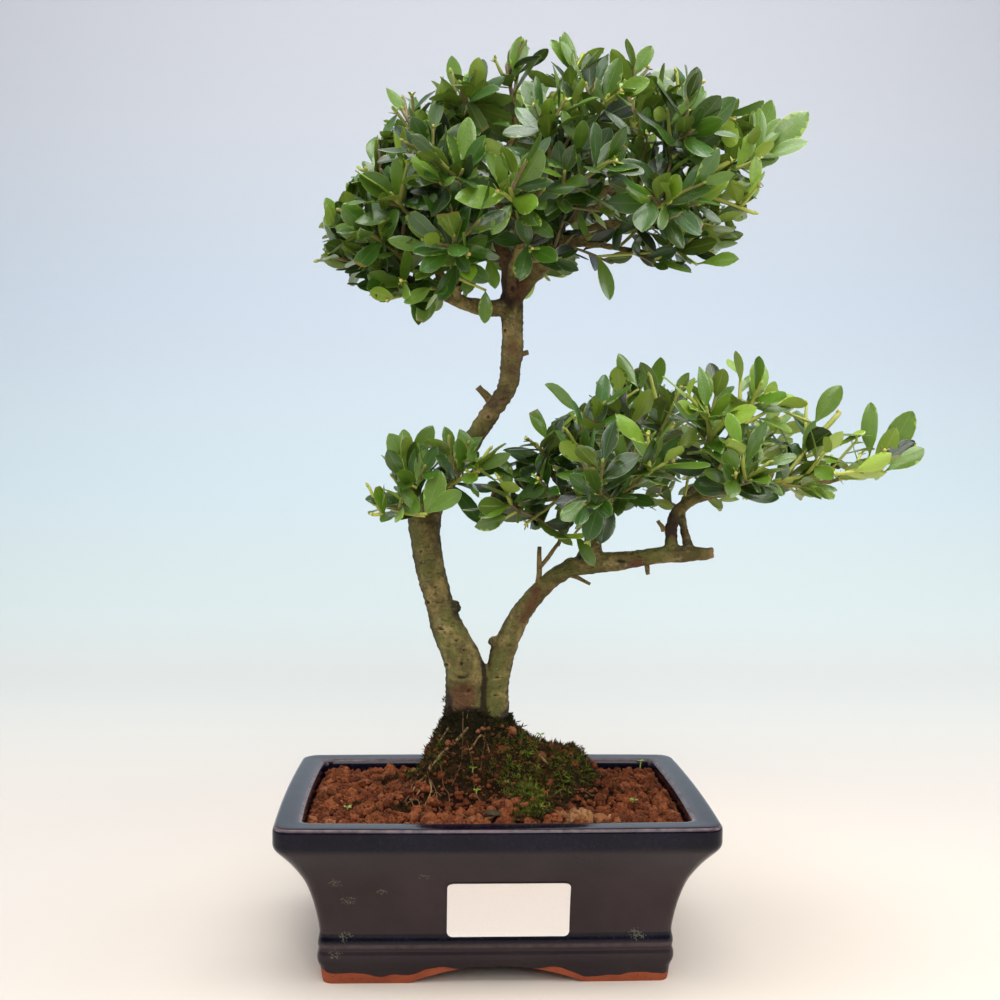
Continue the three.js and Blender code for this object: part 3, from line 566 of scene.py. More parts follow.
def pot_outline(inset, z, corner_steps=8, long_steps=26, short_steps=18):
    """Plan outline at one level, counter-clockwise: round corners, sides bowed outwards."""
    corner = corner_radius(inset)
    half = np.array([POT_LENGTH / 2 - inset, POT_DEPTH / 2 - inset])
    inner = half - corner
    sides = [((1, -1), (1, 0), short_steps), ((1, 1), (0, 1), long_steps),
             ((-1, 1), (-1, 0), short_steps), ((-1, -1), (0, -1), long_steps)]
    points = []
    for index, (quadrant, out, steps) in enumerate(sides):
        centre = inner * quadrant
        for turn in np.linspace(0, 1, corner_steps + 1):
            angle = (index - 1 + turn) * math.pi / 2
            x, y = centre[0] + corner * math.cos(angle), centre[1] + corner * math.sin(angle)
            points.append([x, y, z])
        out = np.array(out)
        forward = np.array([-out[1], out[0]])
        reach = inner @ abs(forward)
        for share in np.arange(1, steps) / steps:
            push = half @ abs(out) + side_bow(z) * (1 - (2 * share - 1) ** 2)
            spot = out * push + forward * reach * (2 * share - 1)
            points.append([spot[0], spot[1], z])
    return np.array(points)


def outer_surface():
    """The wall's profile as a fine smooth line of inset and height."""
    return smooth_line([[inset, z, 0, 0] for inset, z in POT_PROFILE], 1.0)[:, :2]


def stack(rings):
    """A closed skin over rings, flat at both ends."""
    return skin(rings, rings[0].mean(0), rings[-1].mean(0))


def block(size, at):
    """A box to cut with, given its size and its middle."""
    shell = Shell()
    corners = np.array([[x, y, z] for x in (-0.5, 0.5) for y in (-0.5, 0.5) for z in (-0.5, 0.5)])
    sides = [[0, 1, 3, 2], [4, 6, 7, 5], [0, 4, 5, 1], [2, 3, 7, 6], [0, 2, 6, 4], [1, 5, 7, 3]]
    shell.add(corners * size + at, sides)
    return shell.build("cutter", [])


def arch_block(width, length, sideways):
    """The space under one shallow arch, from one side of the pot to the other."""
    radius = (width ** 2 / 4 + ARCH_HEIGHT ** 2) / (2 * ARCH_HEIGHT)
    half_angle = math.asin(width / 2 / radius)
    profile = []
    for angle in np.linspace(half_angle, -half_angle, 41):
        profile.append([radius * math.sin(angle), ARCH_HEIGHT - radius + radius * math.cos(angle)])
    profile += [[-width / 2, -3], [width / 2, -3]]
    rings = []
    for y in (-length, length):
        ring = np.array([[x, y, z] for x, z in profile])
        rings.append(ring[:, [1, 0, 2]] if sideways else ring[::-1])
    shell = Shell()
    shell.add(*stack(rings))
    return shell.build("cutter", [])


def cut(piece, cutters):
    """Takes the cutters out of the piece and removes them."""
    for cutter in cutters:
        modifier = piece.modifiers.new("cut", "BOOLEAN")
        modifier.operation = "DIFFERENCE"
        modifier.solver = "EXACT"
        modifier.object = cutter
    settle(piece)
    for cutter in cutters:
        bpy.data.objects.remove(cutter)


def settle(piece):
    """Applies the piece's modifiers to its mesh."""
    bpy.context.view_layer.update()
    evaluated = piece.evaluated_get(bpy.context.evaluated_depsgraph_get())
    piece.data = bpy.data.meshes.new_from_object(evaluated)
    piece.modifiers.clear()


def make_pot(glaze):
    """The pot: a smooth skin less the recess and the arches below it and the drainage holes."""
    shell = Shell()
    shell.add(*stack([pot_outline(inset, z) for inset, z in outer_surface()]))
    pot = shell.build("pot_glazed", [glaze])
    inner = 2 * (FOOT_INSET + FOOT_WIDTH)
    cutters = [
        block([POT_LENGTH - inner, POT_DEPTH - inner, 2 * UNDERSIDE_Z], [0, 0, 0]),
        arch_block(FRONT_ARCH_WIDTH, POT_DEPTH, False),
        arch_block(SIDE_ARCH_WIDTH, POT_LENGTH, True),
    ]
    for side in (-1, 1):
        line = [[side * DRAIN_SPACING / 2, 0, z, DRAIN_RADIUS] for z in (-5, 8, 30)]
        drain = Shell()
        drain.add(*tube(np.array(line), 40))
        cutters.append(drain.build("cutter", []))
    cut(pot, cutters)
    pot.data.set_sharp_from_angle(angle=math.radians(32))
    return finish_piece(pot, "pot", slot="glaze")


def glaze_look():
    """Dark glaze, navy on the lip and in the groove, over clay that stays bare at the feet, with
    painted highlight lines on the ridge and the rim's top edge.
    """
    look = Look("glaze")
    x, y, z = (look.mm(name) for name in "XYZ")
    runs = look.ramp(look.noise(0.03, 1.5, 0.4, tall=0.1), 0.3, 0.7, 2.4, 7.4)
    drips = look.ramp(look.noise(0.1, 1, tall=0.1), 0.3, 0.7, -0.6, 0.6)
    far_x, far_y = look.calc("ABSOLUTE", x), look.calc("ABSOLUTE", y)
    away = look.calc("MINIMUM", look.ramp(far_x, 10, 32), look.ramp(far_y, 6, 20))
    edge = look.calc("MULTIPLY", look.calc("ADD", runs, drips), away)
    for across, width in ((x, FRONT_ARCH_WIDTH), (y, SIDE_ARCH_WIDTH)):
        part = look.calc("POWER", look.calc("MULTIPLY", across, 2 / width), 2.0)
        arch = look.calc("MAXIMUM", look.calc("SUBTRACT", 1.0, part), 0.0)
        edge = look.calc("ADD", edge, look.calc("MULTIPLY", arch, 0.92 * ARCH_HEIGHT))
    bare = look.ramp(look.calc("SUBTRACT", z, edge), -0.15, 0.15, 1, 0)
    navy = look.blend(look.ramp(look.noise(0.05, 5), 0.3, 0.7), (4, 3, 17), (13, 11, 27))
    groove = look.band(z, (16.6, 17.6), (21.4, 20.4))
    mottle = look.noise(0.6, 5, 0.65)
    # Painted highlight: thin pale lines on the ridge over the groove and on the rim's top edge,
    # partly glaze worn thin on those edges.
    painted_crest_highlight = look.calc("MULTIPLY", look.band(z, (14.6, 15.6), (17.0, 16.2)), 0.35)
    painted_brow_highlight = look.calc("MULTIPLY", look.band(z, (67.6, 68.4), (69.03, 68.8)), 0.8)
    patchy = look.ramp(look.noise(0.25, 4), 0.3, 0.65, 0.4, 0.9)
    glazed = look.coats(
        look.blend(look.ramp(look.noise(0.02, 4), 0.35, 0.7), (43, 32, 34), (54, 43, 45)),
        (look.ramp(z, 26, 10, 0, 0.5), (34, 27, 33)),
        (look.ramp(z, 40, 58, 0, 0.45), (28, 26, 36)),
        (look.calc("MAXIMUM", look.ramp(z, 58.6, 61.6), groove), navy),
        (look.ramp(mottle, 0.5, 0.8, 0, 0.25), (54, 50, 58)),
        (look.calc("MULTIPLY", look.calc("ADD", painted_crest_highlight, painted_brow_highlight), patchy), (112, 92, 96)),
        (look.calc("MULTIPLY", glaze_specks(look, x, z), 0.38), (122, 126, 104)),
    )
    clay = look.coats(
        look.blend(look.noise(0.12, 4, 0.6), (112, 50, 30), (168, 88, 58)),
        (look.ramp(look.noise(1.1, 4), 0.6, 0.7, 0, 0.7), (74, 34, 26)),
    )
    look.set(Base_Color=look.blend(bare, glazed, clay))
    hairs = look.ramp(look.noise(0.9, 3, tall=0.15), 0.66, 0.76, 0, 0.1)
    dull = look.calc("ADD", look.ramp(mottle, 0.4, 0.8, 0.12, 0.24), hairs)
    look.set(Roughness=look.blend(bare, dull, (0.85, 0.85, 0.85, 1)), IOR=1.3)
    thick = look.bump(look.calc("SUBTRACT", 1.0, bare), 0.35)
    peel = look.bump(look.noise(0.07, 2), 0.07, thick)
    grain = look.bump(look.noise(2.2, 5, 0.7), 0.1, thick)
    chosen = look.put("ShaderNodeMix", {"Factor": bare}, data_type="VECTOR")
    look.feed(chosen.inputs[4], peel)
    look.feed(chosen.inputs[5], grain)
    look.set(Normal=chosen.outputs[1])
    return look.material


# Where pale specks of lime and algae sit on the glaze: x, z and reach
SPECK_SPOTS = [
    (-66, 44, 5), (-60, 36, 6), (-62, 20, 6), (-66, 13, 5), (58, 20, 7), (-30, 47, 4), (-47, 40, 4),
]


def glaze_specks(look, x, z):
    """Small pale specks, thick in a few places and rare elsewhere."""
    near = 0.0
    for at_x, at_z, reach in SPECK_SPOTS:
        across = look.calc("MULTIPLY", look.calc("SUBTRACT", x, at_x), 1 / reach)
        along = look.calc("MULTIPLY", look.calc("SUBTRACT", z, at_z), 1.6 / reach)
        far = look.calc("ADD", look.calc("POWER", across, 2.0), look.calc("POWER", along, 2.0))
        near = look.calc("MAXIMUM", near, look.ramp(far, 0.0, 1.0, 0.24, 0))
    grains = look.noise(1.3, 3, 0.6, distortion=0.6)
    return look.ramp(look.calc("ADD", grains, near), 0.76, 0.8)


# The label on the pot's front

WALL_LINE = outer_surface()


def front_y(x, z):
    """Where the pot's front face lies, as far out as the curved side stands there."""
    outside = WALL_LINE[:np.argmax(WALL_LINE[:, 1] > 62)]
    inset = np.interp(z, outside[:, 1], outside[:, 0])
    straight = POT_LENGTH / 2 - inset - corner_radius(inset)
    return -(POT_DEPTH / 2 - inset + side_bow(z) * (1 - (x / straight) ** 2))


def grid_quads(index):
    """The quads of a grid of point numbers."""
    corners = [index[:-1, :-1], index[:-1, 1:], index[1:, 1:], index[1:, :-1]]
    return np.stack(corners, -1).reshape(-1, 4)


def make_label(paper):
    """Thin paper with round corners that follows the wall and curls a little at its ends."""
    parts = ((0, 0.1, 9), (0.15, 0.85, 13), (0.9, 1, 9))
    rows = np.concatenate([np.linspace(*part) for part in parts])
    columns = np.linspace(-1, 1, 41)
    height = LABEL_TOP - LABEL_BOTTOM
    middle = LABEL_LEFT + LABEL_WIDTH / 2
    layers = []
    for lift in (LABEL_FACE, LABEL_BACK):
        points = []
        for row in rows:
            z = LABEL_BOTTOM + row * height
            from_end = min(row, 1 - row) * height
            short = max(LABEL_CORNER - from_end, 0)
            reach = LABEL_WIDTH / 2 - (LABEL_CORNER - math.sqrt(LABEL_CORNER ** 2 - short ** 2))
            for column in columns:
                x = middle + column * reach
                curl = 0.25 * max(abs(column) - 0.93, 0) / 0.07 * max(abs(2 * row - 1) - 0.6, 0)
                points.append([x, front_y(x, z) - lift - curl, z])
        layers.append(np.array(points))
    wide, tall = len(columns), len(rows)
    index = np.arange(wide * tall).reshape(tall, wide)
    front = grid_quads(index)
    back = front[:, ::-1] + wide * tall
    border = np.concatenate([index[0], index[1:, -1], index[-1, -2::-1], index[-2:0:-1, 0]])
    after = np.roll(border, -1)
    sides = np.stack([after, border, border + wide * tall, after + wide * tall], -1)
    shell = Shell()
    shell.add(np.vstack(layers), front, back, sides)
    label = shell.build("label_blank", [paper])
    label.data.set_sharp_from_angle(angle=math.radians(40))
    return finish_piece(label, "label", slot="paper")


def paper_look():
    look = Look("paper")
    fibre = look.noise(1.6, 5, 0.6, tall=2.5)
    white = look.coats(
        look.blend(look.ramp(fibre, 0.35, 0.7), (244, 236, 231), (237, 230, 225)),
        (look.ramp(look.noise(0.08, 4), 0.6, 0.8, 0, 0.25), (231, 222, 216)),
    )
    look.set(Base_Color=white, Roughness=0.42, Normal=look.bump(fibre, 0.03))
    return look.material


# Camera, floor and light

def make_camera():
    """The photograph's viewpoint."""
    ahead = Vector(CAMERA_AHEAD).normalized()
    right = Vector((ahead.y, -ahead.x, 0))
    forward = ahead * math.cos(CAMERA_PITCH) - Vector((0, 0, math.sin(CAMERA_PITCH)))
    up = ahead * math.sin(CAMERA_PITCH) + Vector((0, 0, math.cos(CAMERA_PITCH)))
    across = right * math.cos(CAMERA_ROLL) + up * math.sin(CAMERA_ROLL)
    upright = up * math.cos(CAMERA_ROLL) - right * math.sin(CAMERA_ROLL)
    data = bpy.data.cameras.new("camera")
    data.lens = LENS
    data.sensor_width = SENSOR_WIDTH
    data.clip_start = 0.01
    camera = bpy.data.objects.new("camera", data)
    turn = Matrix((across, upright, -forward)).transposed().to_4x4()
    camera.matrix_world = Matrix.Translation(EYE * MM + SHIFT) @ turn
    bpy.context.scene.collection.objects.link(camera)
    bpy.context.scene.camera = camera


# The backdrop's colours by how far back and up a spot lies, in metres
BACKDROP = [
    (0.2, (197, 190, 183)), (0.6, (198, 199, 195)), (1.0, (195, 205, 205)), (1.4, (193, 206, 212)),
    (2.0, (194, 204, 215)), (2.7, (206, 208, 216)),
]


def make_stage():
    """A pale floor that sweeps up into a backdrop, cream below and pale blue above, with a painted
    pool of light on the floor round the pot.
    """
    bends = np.linspace(0, math.pi / 2, 80)
    curve = np.stack([0.6 + 0.8 * np.sin(bends), 0.8 - 0.8 * np.cos(bends)], -1)
    profile = np.vstack([[[-3, 0], [0, 0], [0.4, 0]], curve, [[1.4, 1.4], [1.4, 3]]])
    points = [[x, y, z] for y, z in profile for x in (-3.0, 3.0)]
    faces = [[2 * i, 2 * i + 1, 2 * i + 3, 2 * i + 2] for i in range(len(profile) - 1)]
    mesh = bpy.data.meshes.new("floor")
    mesh.from_pydata(points, [], faces)
    mesh.polygons.foreach_set("use_smooth", [True] * len(faces))
    look = Look("floor")
    far = look.calc("ADD", look.axis("Y"), look.calc("MULTIPLY", look.axis("Z"), 1.6))
    sweep = BACKDROP[0][1]
    for (start, _), (end, tone) in zip(BACKDROP, BACKDROP[1:]):
        sweep = look.blend(look.ramp(far, start, end), sweep, tone)
    # Painted light: the floor near the pot is turned a lighter, warmer cream, a pool of light that
    # softens the pot's shadow.
    painted_pool_distance = look.put("ShaderNodeVectorMath", {0: look.where}, operation="LENGTH").outputs["Value"]
    sweep = look.blend(look.ramp(painted_pool_distance, 0.1, 0.36, 0.8, 0), sweep, (217, 204, 191))
    look.set(Base_Color=sweep, Roughness=0.75, Specular_IOR_Level=0.2)
    placed(mesh, "floor", [look.material])


def area_light(name, spot, target, size, power, tone):
    data = bpy.data.lights.new(name, "AREA")
    data.shape = "SQUARE"
    data.size = size
    data.energy = power
    data.color = tone
    light = bpy.data.objects.new(name, data)
    light.location = spot
    aim = Vector(target) - Vector(spot)
    light.rotation_euler = aim.to_track_quat("-Z", "Y").to_euler()
    bpy.context.scene.collection.objects.link(light)


# The sky's brightness along Y and up: axis, its low and high end, and the strength at each
SKY = [("Y", -0.9, 0.9, 0.12, 0.5), ("Z", 0.0, 0.9, 0.0, 0.6)]
SKY_COLOUR = (0.88, 0.94, 1.0, 1)

# Soft square lamps: name, place, what they face, size in metres, power and colour
LAMPS = [
    ("light_above", (0.1, -0.3, 1.35), (0, 0, 0.2), 1.1, 17.5, (1.0, 0.985, 0.95)),
    ("light_front", (0.1, -1.4, 0.9), (0, 0, 0.15), 0.7, 9, (1.0, 0.97, 0.93)),
    ("light_left", (-1.1, 0.0, 0.6), (0, 0, 0.2), 0.7, 4.5, (0.96, 0.98, 1.0)),
    ("light_right", (1.2, 0.0, 0.7), (0, 0, 0.2), 0.7, 6.5, (0.98, 0.98, 1.0)),
    ("light_backdrop", (0, 0.35, 1.9), (0, 1.4, 0.7), 1.2, 5, (0.97, 0.98, 1.0)),
]


def make_light():
    """A dim room in front, a bright soft sky above and behind, and soft lamps."""
    world = bpy.data.worlds.new("world")
    world.use_nodes = True
    bpy.context.scene.world = world
    tree = world.node_tree
    backdrop = tree.nodes["Background"]
    way = tree.nodes.new("ShaderNodeTexCoord")
    split = tree.nodes.new("ShaderNodeSeparateXYZ")
    tree.links.new(way.outputs["Generated"], split.inputs[0])
    both = tree.nodes.new("ShaderNodeMath")
    for index, (axis, *ends) in enumerate(SKY):
        node = tree.nodes.new("ShaderNodeMapRange")
        tree.links.new(split.outputs[axis], node.inputs["Value"])
        for key, value in zip(("From Min", "From Max", "To Min", "To Max"), ends):
            node.inputs[key].default_value = value
        tree.links.new(node.outputs[0], both.inputs[index])
    tree.links.new(both.outputs[0], backdrop.inputs["Strength"])
    backdrop.inputs["Color"].default_value = SKY_COLOUR
    for lamp in LAMPS:
        area_light(*lamp)


# Noise and heights

def lattice_noise(points, size, seed):
    """Smooth noise from -1 to 1 at each point, with features about size millimetres wide."""
    cell = np.asarray(points, float) / size
    base = np.floor(cell).astype(np.int64)
    part = cell - base
    part = part * part * (3 - 2 * part)
    total = np.zeros(len(cell))
    for corner in range(8):
        offset = np.array([corner & 1, corner >> 1 & 1, corner >> 2 & 1])
        x, y, z = (base + offset).T
        mixed = (x * 374761393 + y * 668265263 + z * 2147483647 + seed * 1274126177) & MASK
        mixed = ((mixed ^ (mixed >> 13)) * 1274126177) & MASK
        value = ((mixed ^ (mixed >> 16)) & MASK) / 2147483648 - 1
        total += np.prod(np.where(offset, part, 1 - part), 1) * value
    return total


def rough_noise(points, size, seed, octaves=3):
    """Noise with finer and weaker layers over the broad one."""
    return sum(lattice_noise(points, size / 2 ** k, seed + k) / 2 ** k for k in range(octaves))


# How high the mound rises along X, where it is flattened
MOUND_CREST = (
    [-32, -27, -20, -12, -4, 8, 18, 31, 50], [80, 90, 100, MOUND_TOP, 101, 94, 87, 84.5, 83],
)


# The mound as bumps on the flat soil: height, place and reach along X and Y
MOUND_BUMPS = [
    (42, *TRUNK_SPOT, 32, 28), (14, 4, -1, 52, 40), (17, 28, 2, 36, 28), (6, 16, -34, 24, 22),
    (8, -33, -16, 18, 16),
]


def soil_height(x, y):
    """Height of the soil: flat near the rim, with the old root mound round the trunk."""
    z = SOIL_LEVEL
    for rise, at_x, at_y, reach_x, reach_y in MOUND_BUMPS:
        reach = ((x - at_x) / reach_x) ** 2 + ((y - at_y) / reach_y) ** 2
        z = z + rise * np.clip(1 - reach, 0, None) ** 2
    return np.minimum(z, np.interp(x, *MOUND_CREST))


# Fresh green patches on the mound: x, y, reach and strength
MOSS_PATCHES = [
    (12, -12, 10, 1.1), (13, -24, 10, 1.5), (15, -37, 8, 1.4), (5, -17, 9, 1.1), (28, -14, 8, 1.0),
    (37, -8, 7, 1.1), (-24, -13, 5, 0.8), (72, 53, 6, 1.4), (-30, 40, 11, 1.1), (-2, 24, 9, 1.0),
]


def flat_points(x, y):
    return np.stack([x, y, np.zeros_like(x)], -1)


def moss_cover(x, y):
    """How mossy a spot is: over 0 it is covered. Dense round the trunk, in patches elsewhere."""
    points = flat_points(x, y)
    cover = (soil_height(x, y) - 76) / 14
    cover = cover + 0.85 * rough_noise(points, 13, 40) + 0.35 * lattice_noise(points, 4, 47)
    for at_x, at_y, reach, gain in MOSS_PATCHES:
        cover = cover + gain * np.exp(-((x - at_x) ** 2 + (y - at_y) ** 2) / reach ** 2)
    return cover


# The wood

def limb_at(name, position):
    """The point and the radius of a limb at a place along its rows."""
    rows = np.array(LIMBS[name], float)
    index = min(int(position), len(rows) - 2)
    spot = rows[index] + (rows[index + 1] - rows[index]) * (position - index)
    return spot[:3], spot[3]


class Branch:
    """The line of one spray, from its limb to the leading tip."""

    def __init__(self, row):
        self.start, self.radius = limb_at(row[1], row[2])
        self.end = np.array(row[3], float)
        self.length = np.linalg.norm(self.end - self.start)
        self.middle = (self.start + self.end) / 2 + 0.08 * self.length * UP
        from_limb = (self.radius + 2) / self.length
        self.bark_end = min(max(1 - STEM_LENGTH / self.length, from_limb), 0.75)

    def at(self, share):
        rest = 1 - share
        return rest ** 2 * self.start + 2 * share * rest * self.middle + share ** 2 * self.end

    def direction(self, share):
        return unit((1 - share) * (self.middle - self.start) + share * (self.end - self.middle))


# Where the bark is red-brown, dark, or opened to the wood: place and reach
RED_BARK = [
    ((4, -4, 300), 9), ((6, -4, 288), 7), ((84, -13, 186), 6), ((17, -8, 157), 3),
    ((15, -8, 151), 3), ((13, -8, 145), 3), ((-14, -9, 112), 7), ((-18, -8, 105), 7),
    ((-33, -2, 190), 3), ((60, -15, 169), 5), ((6, -5, 262), 3), ((3, -5, 240), 3),
    ((78, -15, 184), 5),
]
DARK_BARK = [
    ((-16.2, -3.4, 149.6), 4.6), ((2, -4, 243), 4), ((6, -4, 254), 3), ((76, -14, 186), 7),
    ((4, -3, 283), 5), ((-33, -2, 197), 4), ((-2.2, -1, 133), 2.4), ((-12, -9, 103), 5),
    ((5, -6, 99), 4), ((-21, -4, 108), 3.5), ((-26, -6, 163), 2.2), ((-21.5, -5, 162.5), 2.2),
    ((-2, -3, 238), 3),
]
PALE_WOOD = [((94, -13, 175), 3.5), ((-8.5, -1, 246), 2.4), ((14, 0, 261), 1.8)]

# Healed scars seen as a rim round a pit: x, z, half width, half height, and 1 on the front or
# -1 on the back
SCARS = [
    (-14.5, 119.7, 4.2, 1.5, 1), (-14.8, 125.4, 1.8, 1.9, 1), (-17.2, 135.5, 1.9, 1.4, 1),
    (-13.7, 131.3, 1.5, 1.2, 1), (-21.3, 124.3, 1.2, 1.1, 1), (-26.5, 158.1, 1.9, 1.4, 1),
    (-29.5, 151.4, 1.3, 1.3, 1), (-23.8, 140.2, 3.2, 1.0, 1), (-32.8, 173.6, 1.0, 1.0, 1),
    (-32.4, 168.8, 0.9, 0.9, 1), (0.8, 119.3, 1.2, 1.0, 1), (0.2, 111.4, 2.2, 0.8, 1),
    (37, 172.6, 4.0, 3.0, 1), (53.6, 171.2, 4.6, 2.0, 1), (5.8, 287.4, 1.8, 2.2, 1),
    (2.8, 270.1, 1.1, 1.0, 1), (-4, 232.5, 1.4, 1.1, 1), (-11.6, 113.6, 1.6, 1.5, 1),
    (-17, 128, 2.6, 1.6, -1), (-26, 152, 2.2, 1.8, -1), (-31, 181, 2.8, 2.0, -1),
    (4, 121, 1.6, 1.8, -1), (22, 160.5, 2.2, 1.4, -1), (-12, 220, 1.6, 1.4, -1),
    (5.6, 262, 1.9, 1.5, -1), (64, 173, 2.4, 1.4, -1),
]


def with_spots(values, points, spots):
    """The values raised near the listed spots, by 1 at a spot and by less with distance."""
    for at, size in spots:
        values = values + np.exp(-(np.linalg.norm(points - at, axis=1) / size) ** 2)
    return values


def wood_tint(points, normals):
    """Algae, red-brown bark, dark patches and pale heartwood for each point of the bark. The algae
    and dark values also hold painted shade: on the limbs' sides, in the cleft between the limbs, in
    the scars' pits and at the foot.
    """
    x, _, z = points.T
    patchy = rough_noise(points, 14, 3, 4)
    # The algae value grows lower down and in patches; its terms by the normal also paint shade,
    # greener on faces turned left and to the front.
    algae_and_side_shade = 0.5 - (z - 105) / 260 + 0.55 * patchy - 0.2 * normals[:, 1] - 0.25 * normals[:, 0]
    red = with_spots(0.25 * np.clip(lattice_noise(points, 24, 37), 0, 1), points, RED_BARK)
    dark = with_spots(np.zeros(len(points)), points, DARK_BARK)
    dark *= np.clip(0.9 + 0.9 * rough_noise(points, 5, 51), 0.65, 1)
    # Painted shade: both sides of each limb darker, by the normal across.
    dark += 0.7 * abs(normals[:, 0]) ** 2.5
    # Painted shade: a dark band down the cleft between the two limbs, below 130 mm.
    painted_cleft_shade = np.exp(-((x + 4.6 + 0.5 * patchy) / 1.3) ** 2)
    dark += 0.9 * painted_cleft_shade * np.clip((130 - z) / 10, 0, 1)
    rim, pit = scar_marks(points, normals)
    # Painted shade: the scars' pits darker and, below, less pale; and the bark darker towards the
    # foot below about 106 mm.
    dark = dark + 0.85 * pit + 0.7 * np.clip(1 - (z - 98) / 8 + 0.5 * patchy, 0, 1)
    bleached = 0.3 * np.clip((z - 222) / 12, 0, 1) * np.clip((285 - z) / 20, 0, 1)
    pale = with_spots(-0.3 * pit + 0.22 * rim + bleached, points, PALE_WOOD)
    return np.clip(np.stack([algae_and_side_shade - 0.4 * rim, red, dark, pale], -1), 0, 1)


def scar_marks(points, normals):
    """For each point: how much a scar's rim raises it, and how deep it lies in a scar's pit."""
    rim, pit = np.zeros(len(points)), np.zeros(len(points))
    for x, z, wide, tall, face in SCARS:
        facing = np.clip(-normals[:, 1] * face * 2.5, 0, 1)
        reach = np.sqrt(((points[:, 0] - x) / wide) ** 2 + ((points[:, 2] - z) / tall) ** 2)
        rim += facing * np.exp(-((reach - 1.05) / 0.42) ** 2)
        pit += facing * np.exp(-(reach / 0.5) ** 4)
    return rim, pit


def bark_relief(points, normals):
    """How far the bark stands in or out: lumps, wrinkles, scars and fissures."""
    lumps = 0.5 * rough_noise(points, 9, 11) + 0.25 * rough_noise(points * (1, 1, 1.8), 3.2, 17)
    ripples = np.sin(points[:, 2] * 2.3 + 3 * lattice_noise(points, 7, 23))
    wrinkled = np.clip(lattice_noise(points, 16, 29) + 0.25, 0, 1)
    fissures = np.clip(0.14 - abs(lattice_noise(points * (1, 1, 0.35), 3.4, 31)), 0, 1) * 1.8
    rim, pit = scar_marks(points, normals)
    knob = np.exp(-(np.linalg.norm(points - KNOBS[0][:3], axis=1) / 5) ** 2)
    broken = knob * rough_noise(points, 3.5, 61)
    return lumps + 0.16 * ripples * wrinkled - fissures + 0.4 * rim - 0.8 * pit + 1.1 * broken


# The two limbs where they swell into the root mound
TRUNK_FEET = [
    [[-11, 0, 83, 9.6], [-11.6, 0, 96, 9.3], [-12.6, 0, 106, 9.1], [-13, 0, 114, 8.5]],
    [[-1.5, -0.5, 83, 9], [-0.8, -0.5, 96, 8], [-0.2, -0.5, 105, 6.6], [0.4, -0.5, 114, 5.4]],
]


def read_field(items, field, per_item, kind=float):
    values = np.empty(len(items) * per_item, kind)
    items.foreach_get(field, values)
    return values


def heavy_wood():
    """The foot, the limbs and the knots melted into one skin, with relief."""
    shell = Shell()
    for foot in TRUNK_FEET:
        shell.add(*tube(smooth_line(foot, 1.5), 36))
    for rows in LIMBS.values():
        shell.add(*tube(smooth_line(rows, 1.2), 28 if rows[0][3] > 4 else 18))
    for x, y, z, radius in KNOBS:
        line = [[x, y, z + radius * math.sin(a), max(radius * math.cos(a), 0.05)]
                for a in np.linspace(-math.pi / 2, math.pi / 2, 12)]
        shell.add(*tube(np.array(line), 16))
    wood = shell.build("wood", [])
    remesh = wood.modifiers.new("melt", "REMESH")
    remesh.mode = "VOXEL"
    remesh.voxel_size = WOOD_VOXEL
    relax = wood.modifiers.new("relax", "SMOOTH")
    relax.factor = 0.5
    relax.iterations = 5
    settle(wood)
    mesh = wood.data
    points = (read_field(mesh.vertices, "co", 3).reshape(-1, 3) - SHIFT) * 1000
    normals = read_field(mesh.vertices, "normal", 3).reshape(-1, 3)
    quads = read_field(mesh.loops, "vertex_index", 1, int).reshape(-1, 4)
    bpy.data.objects.remove(wood)
    raised = points + normals * bark_relief(points, normals)[:, None]
    return raised, quads, wood_tint(points, normals)


def add_twig(shell, line, sides, slot, tint, gnarl=0.12, key=0):
    """A thin round member whose radius wavers a little, with the given tint."""
    line = np.array(line, float)
    line[:, 3] *= 1 + gnarl * lattice_noise(line[:, :3], 2.2, key)
    points, quads, fans = tube(line, sides)
    shell.add(points, quads, fans, slot=slot, tint=tint)


def make_wood(bark, branches):
    """The melted limbs with every twig that carries a spray, and the cut stubs."""
    shell = Shell()
    points, quads, tint = heavy_wood()
    shell.add(points, quads, tint=tint)
    for index, branch in enumerate(branches):
        start = min(branch.radius * 0.7, 2)
        line = [[*branch.at(s), start + (TWIG_END - start) * s / branch.bark_end]
                for s in np.linspace(0, branch.bark_end, 14)]
        add_twig(shell, line, 9, 0, (0.35, 0.25 * draw(index, 1, 1, 1), 0.1, 0), key=index)
    for index, (start, end) in enumerate(STUBS):
        start, end = np.array(start), np.array(end)
        line = [start + (end - start) * s + [0.3 * math.sin(5 * s), 0.3 * math.cos(4 * s), 0, 0]
                for s in np.linspace(0, 1, 9)]
        add_twig(shell, line, 9, 0, (0.35, 0.1, 0.12, 0.3), gnarl=0.16, key=70 + index)
    return finish_piece(shell.build("trunk_wood", [bark]), "trunk_and_branches", slot="bark")


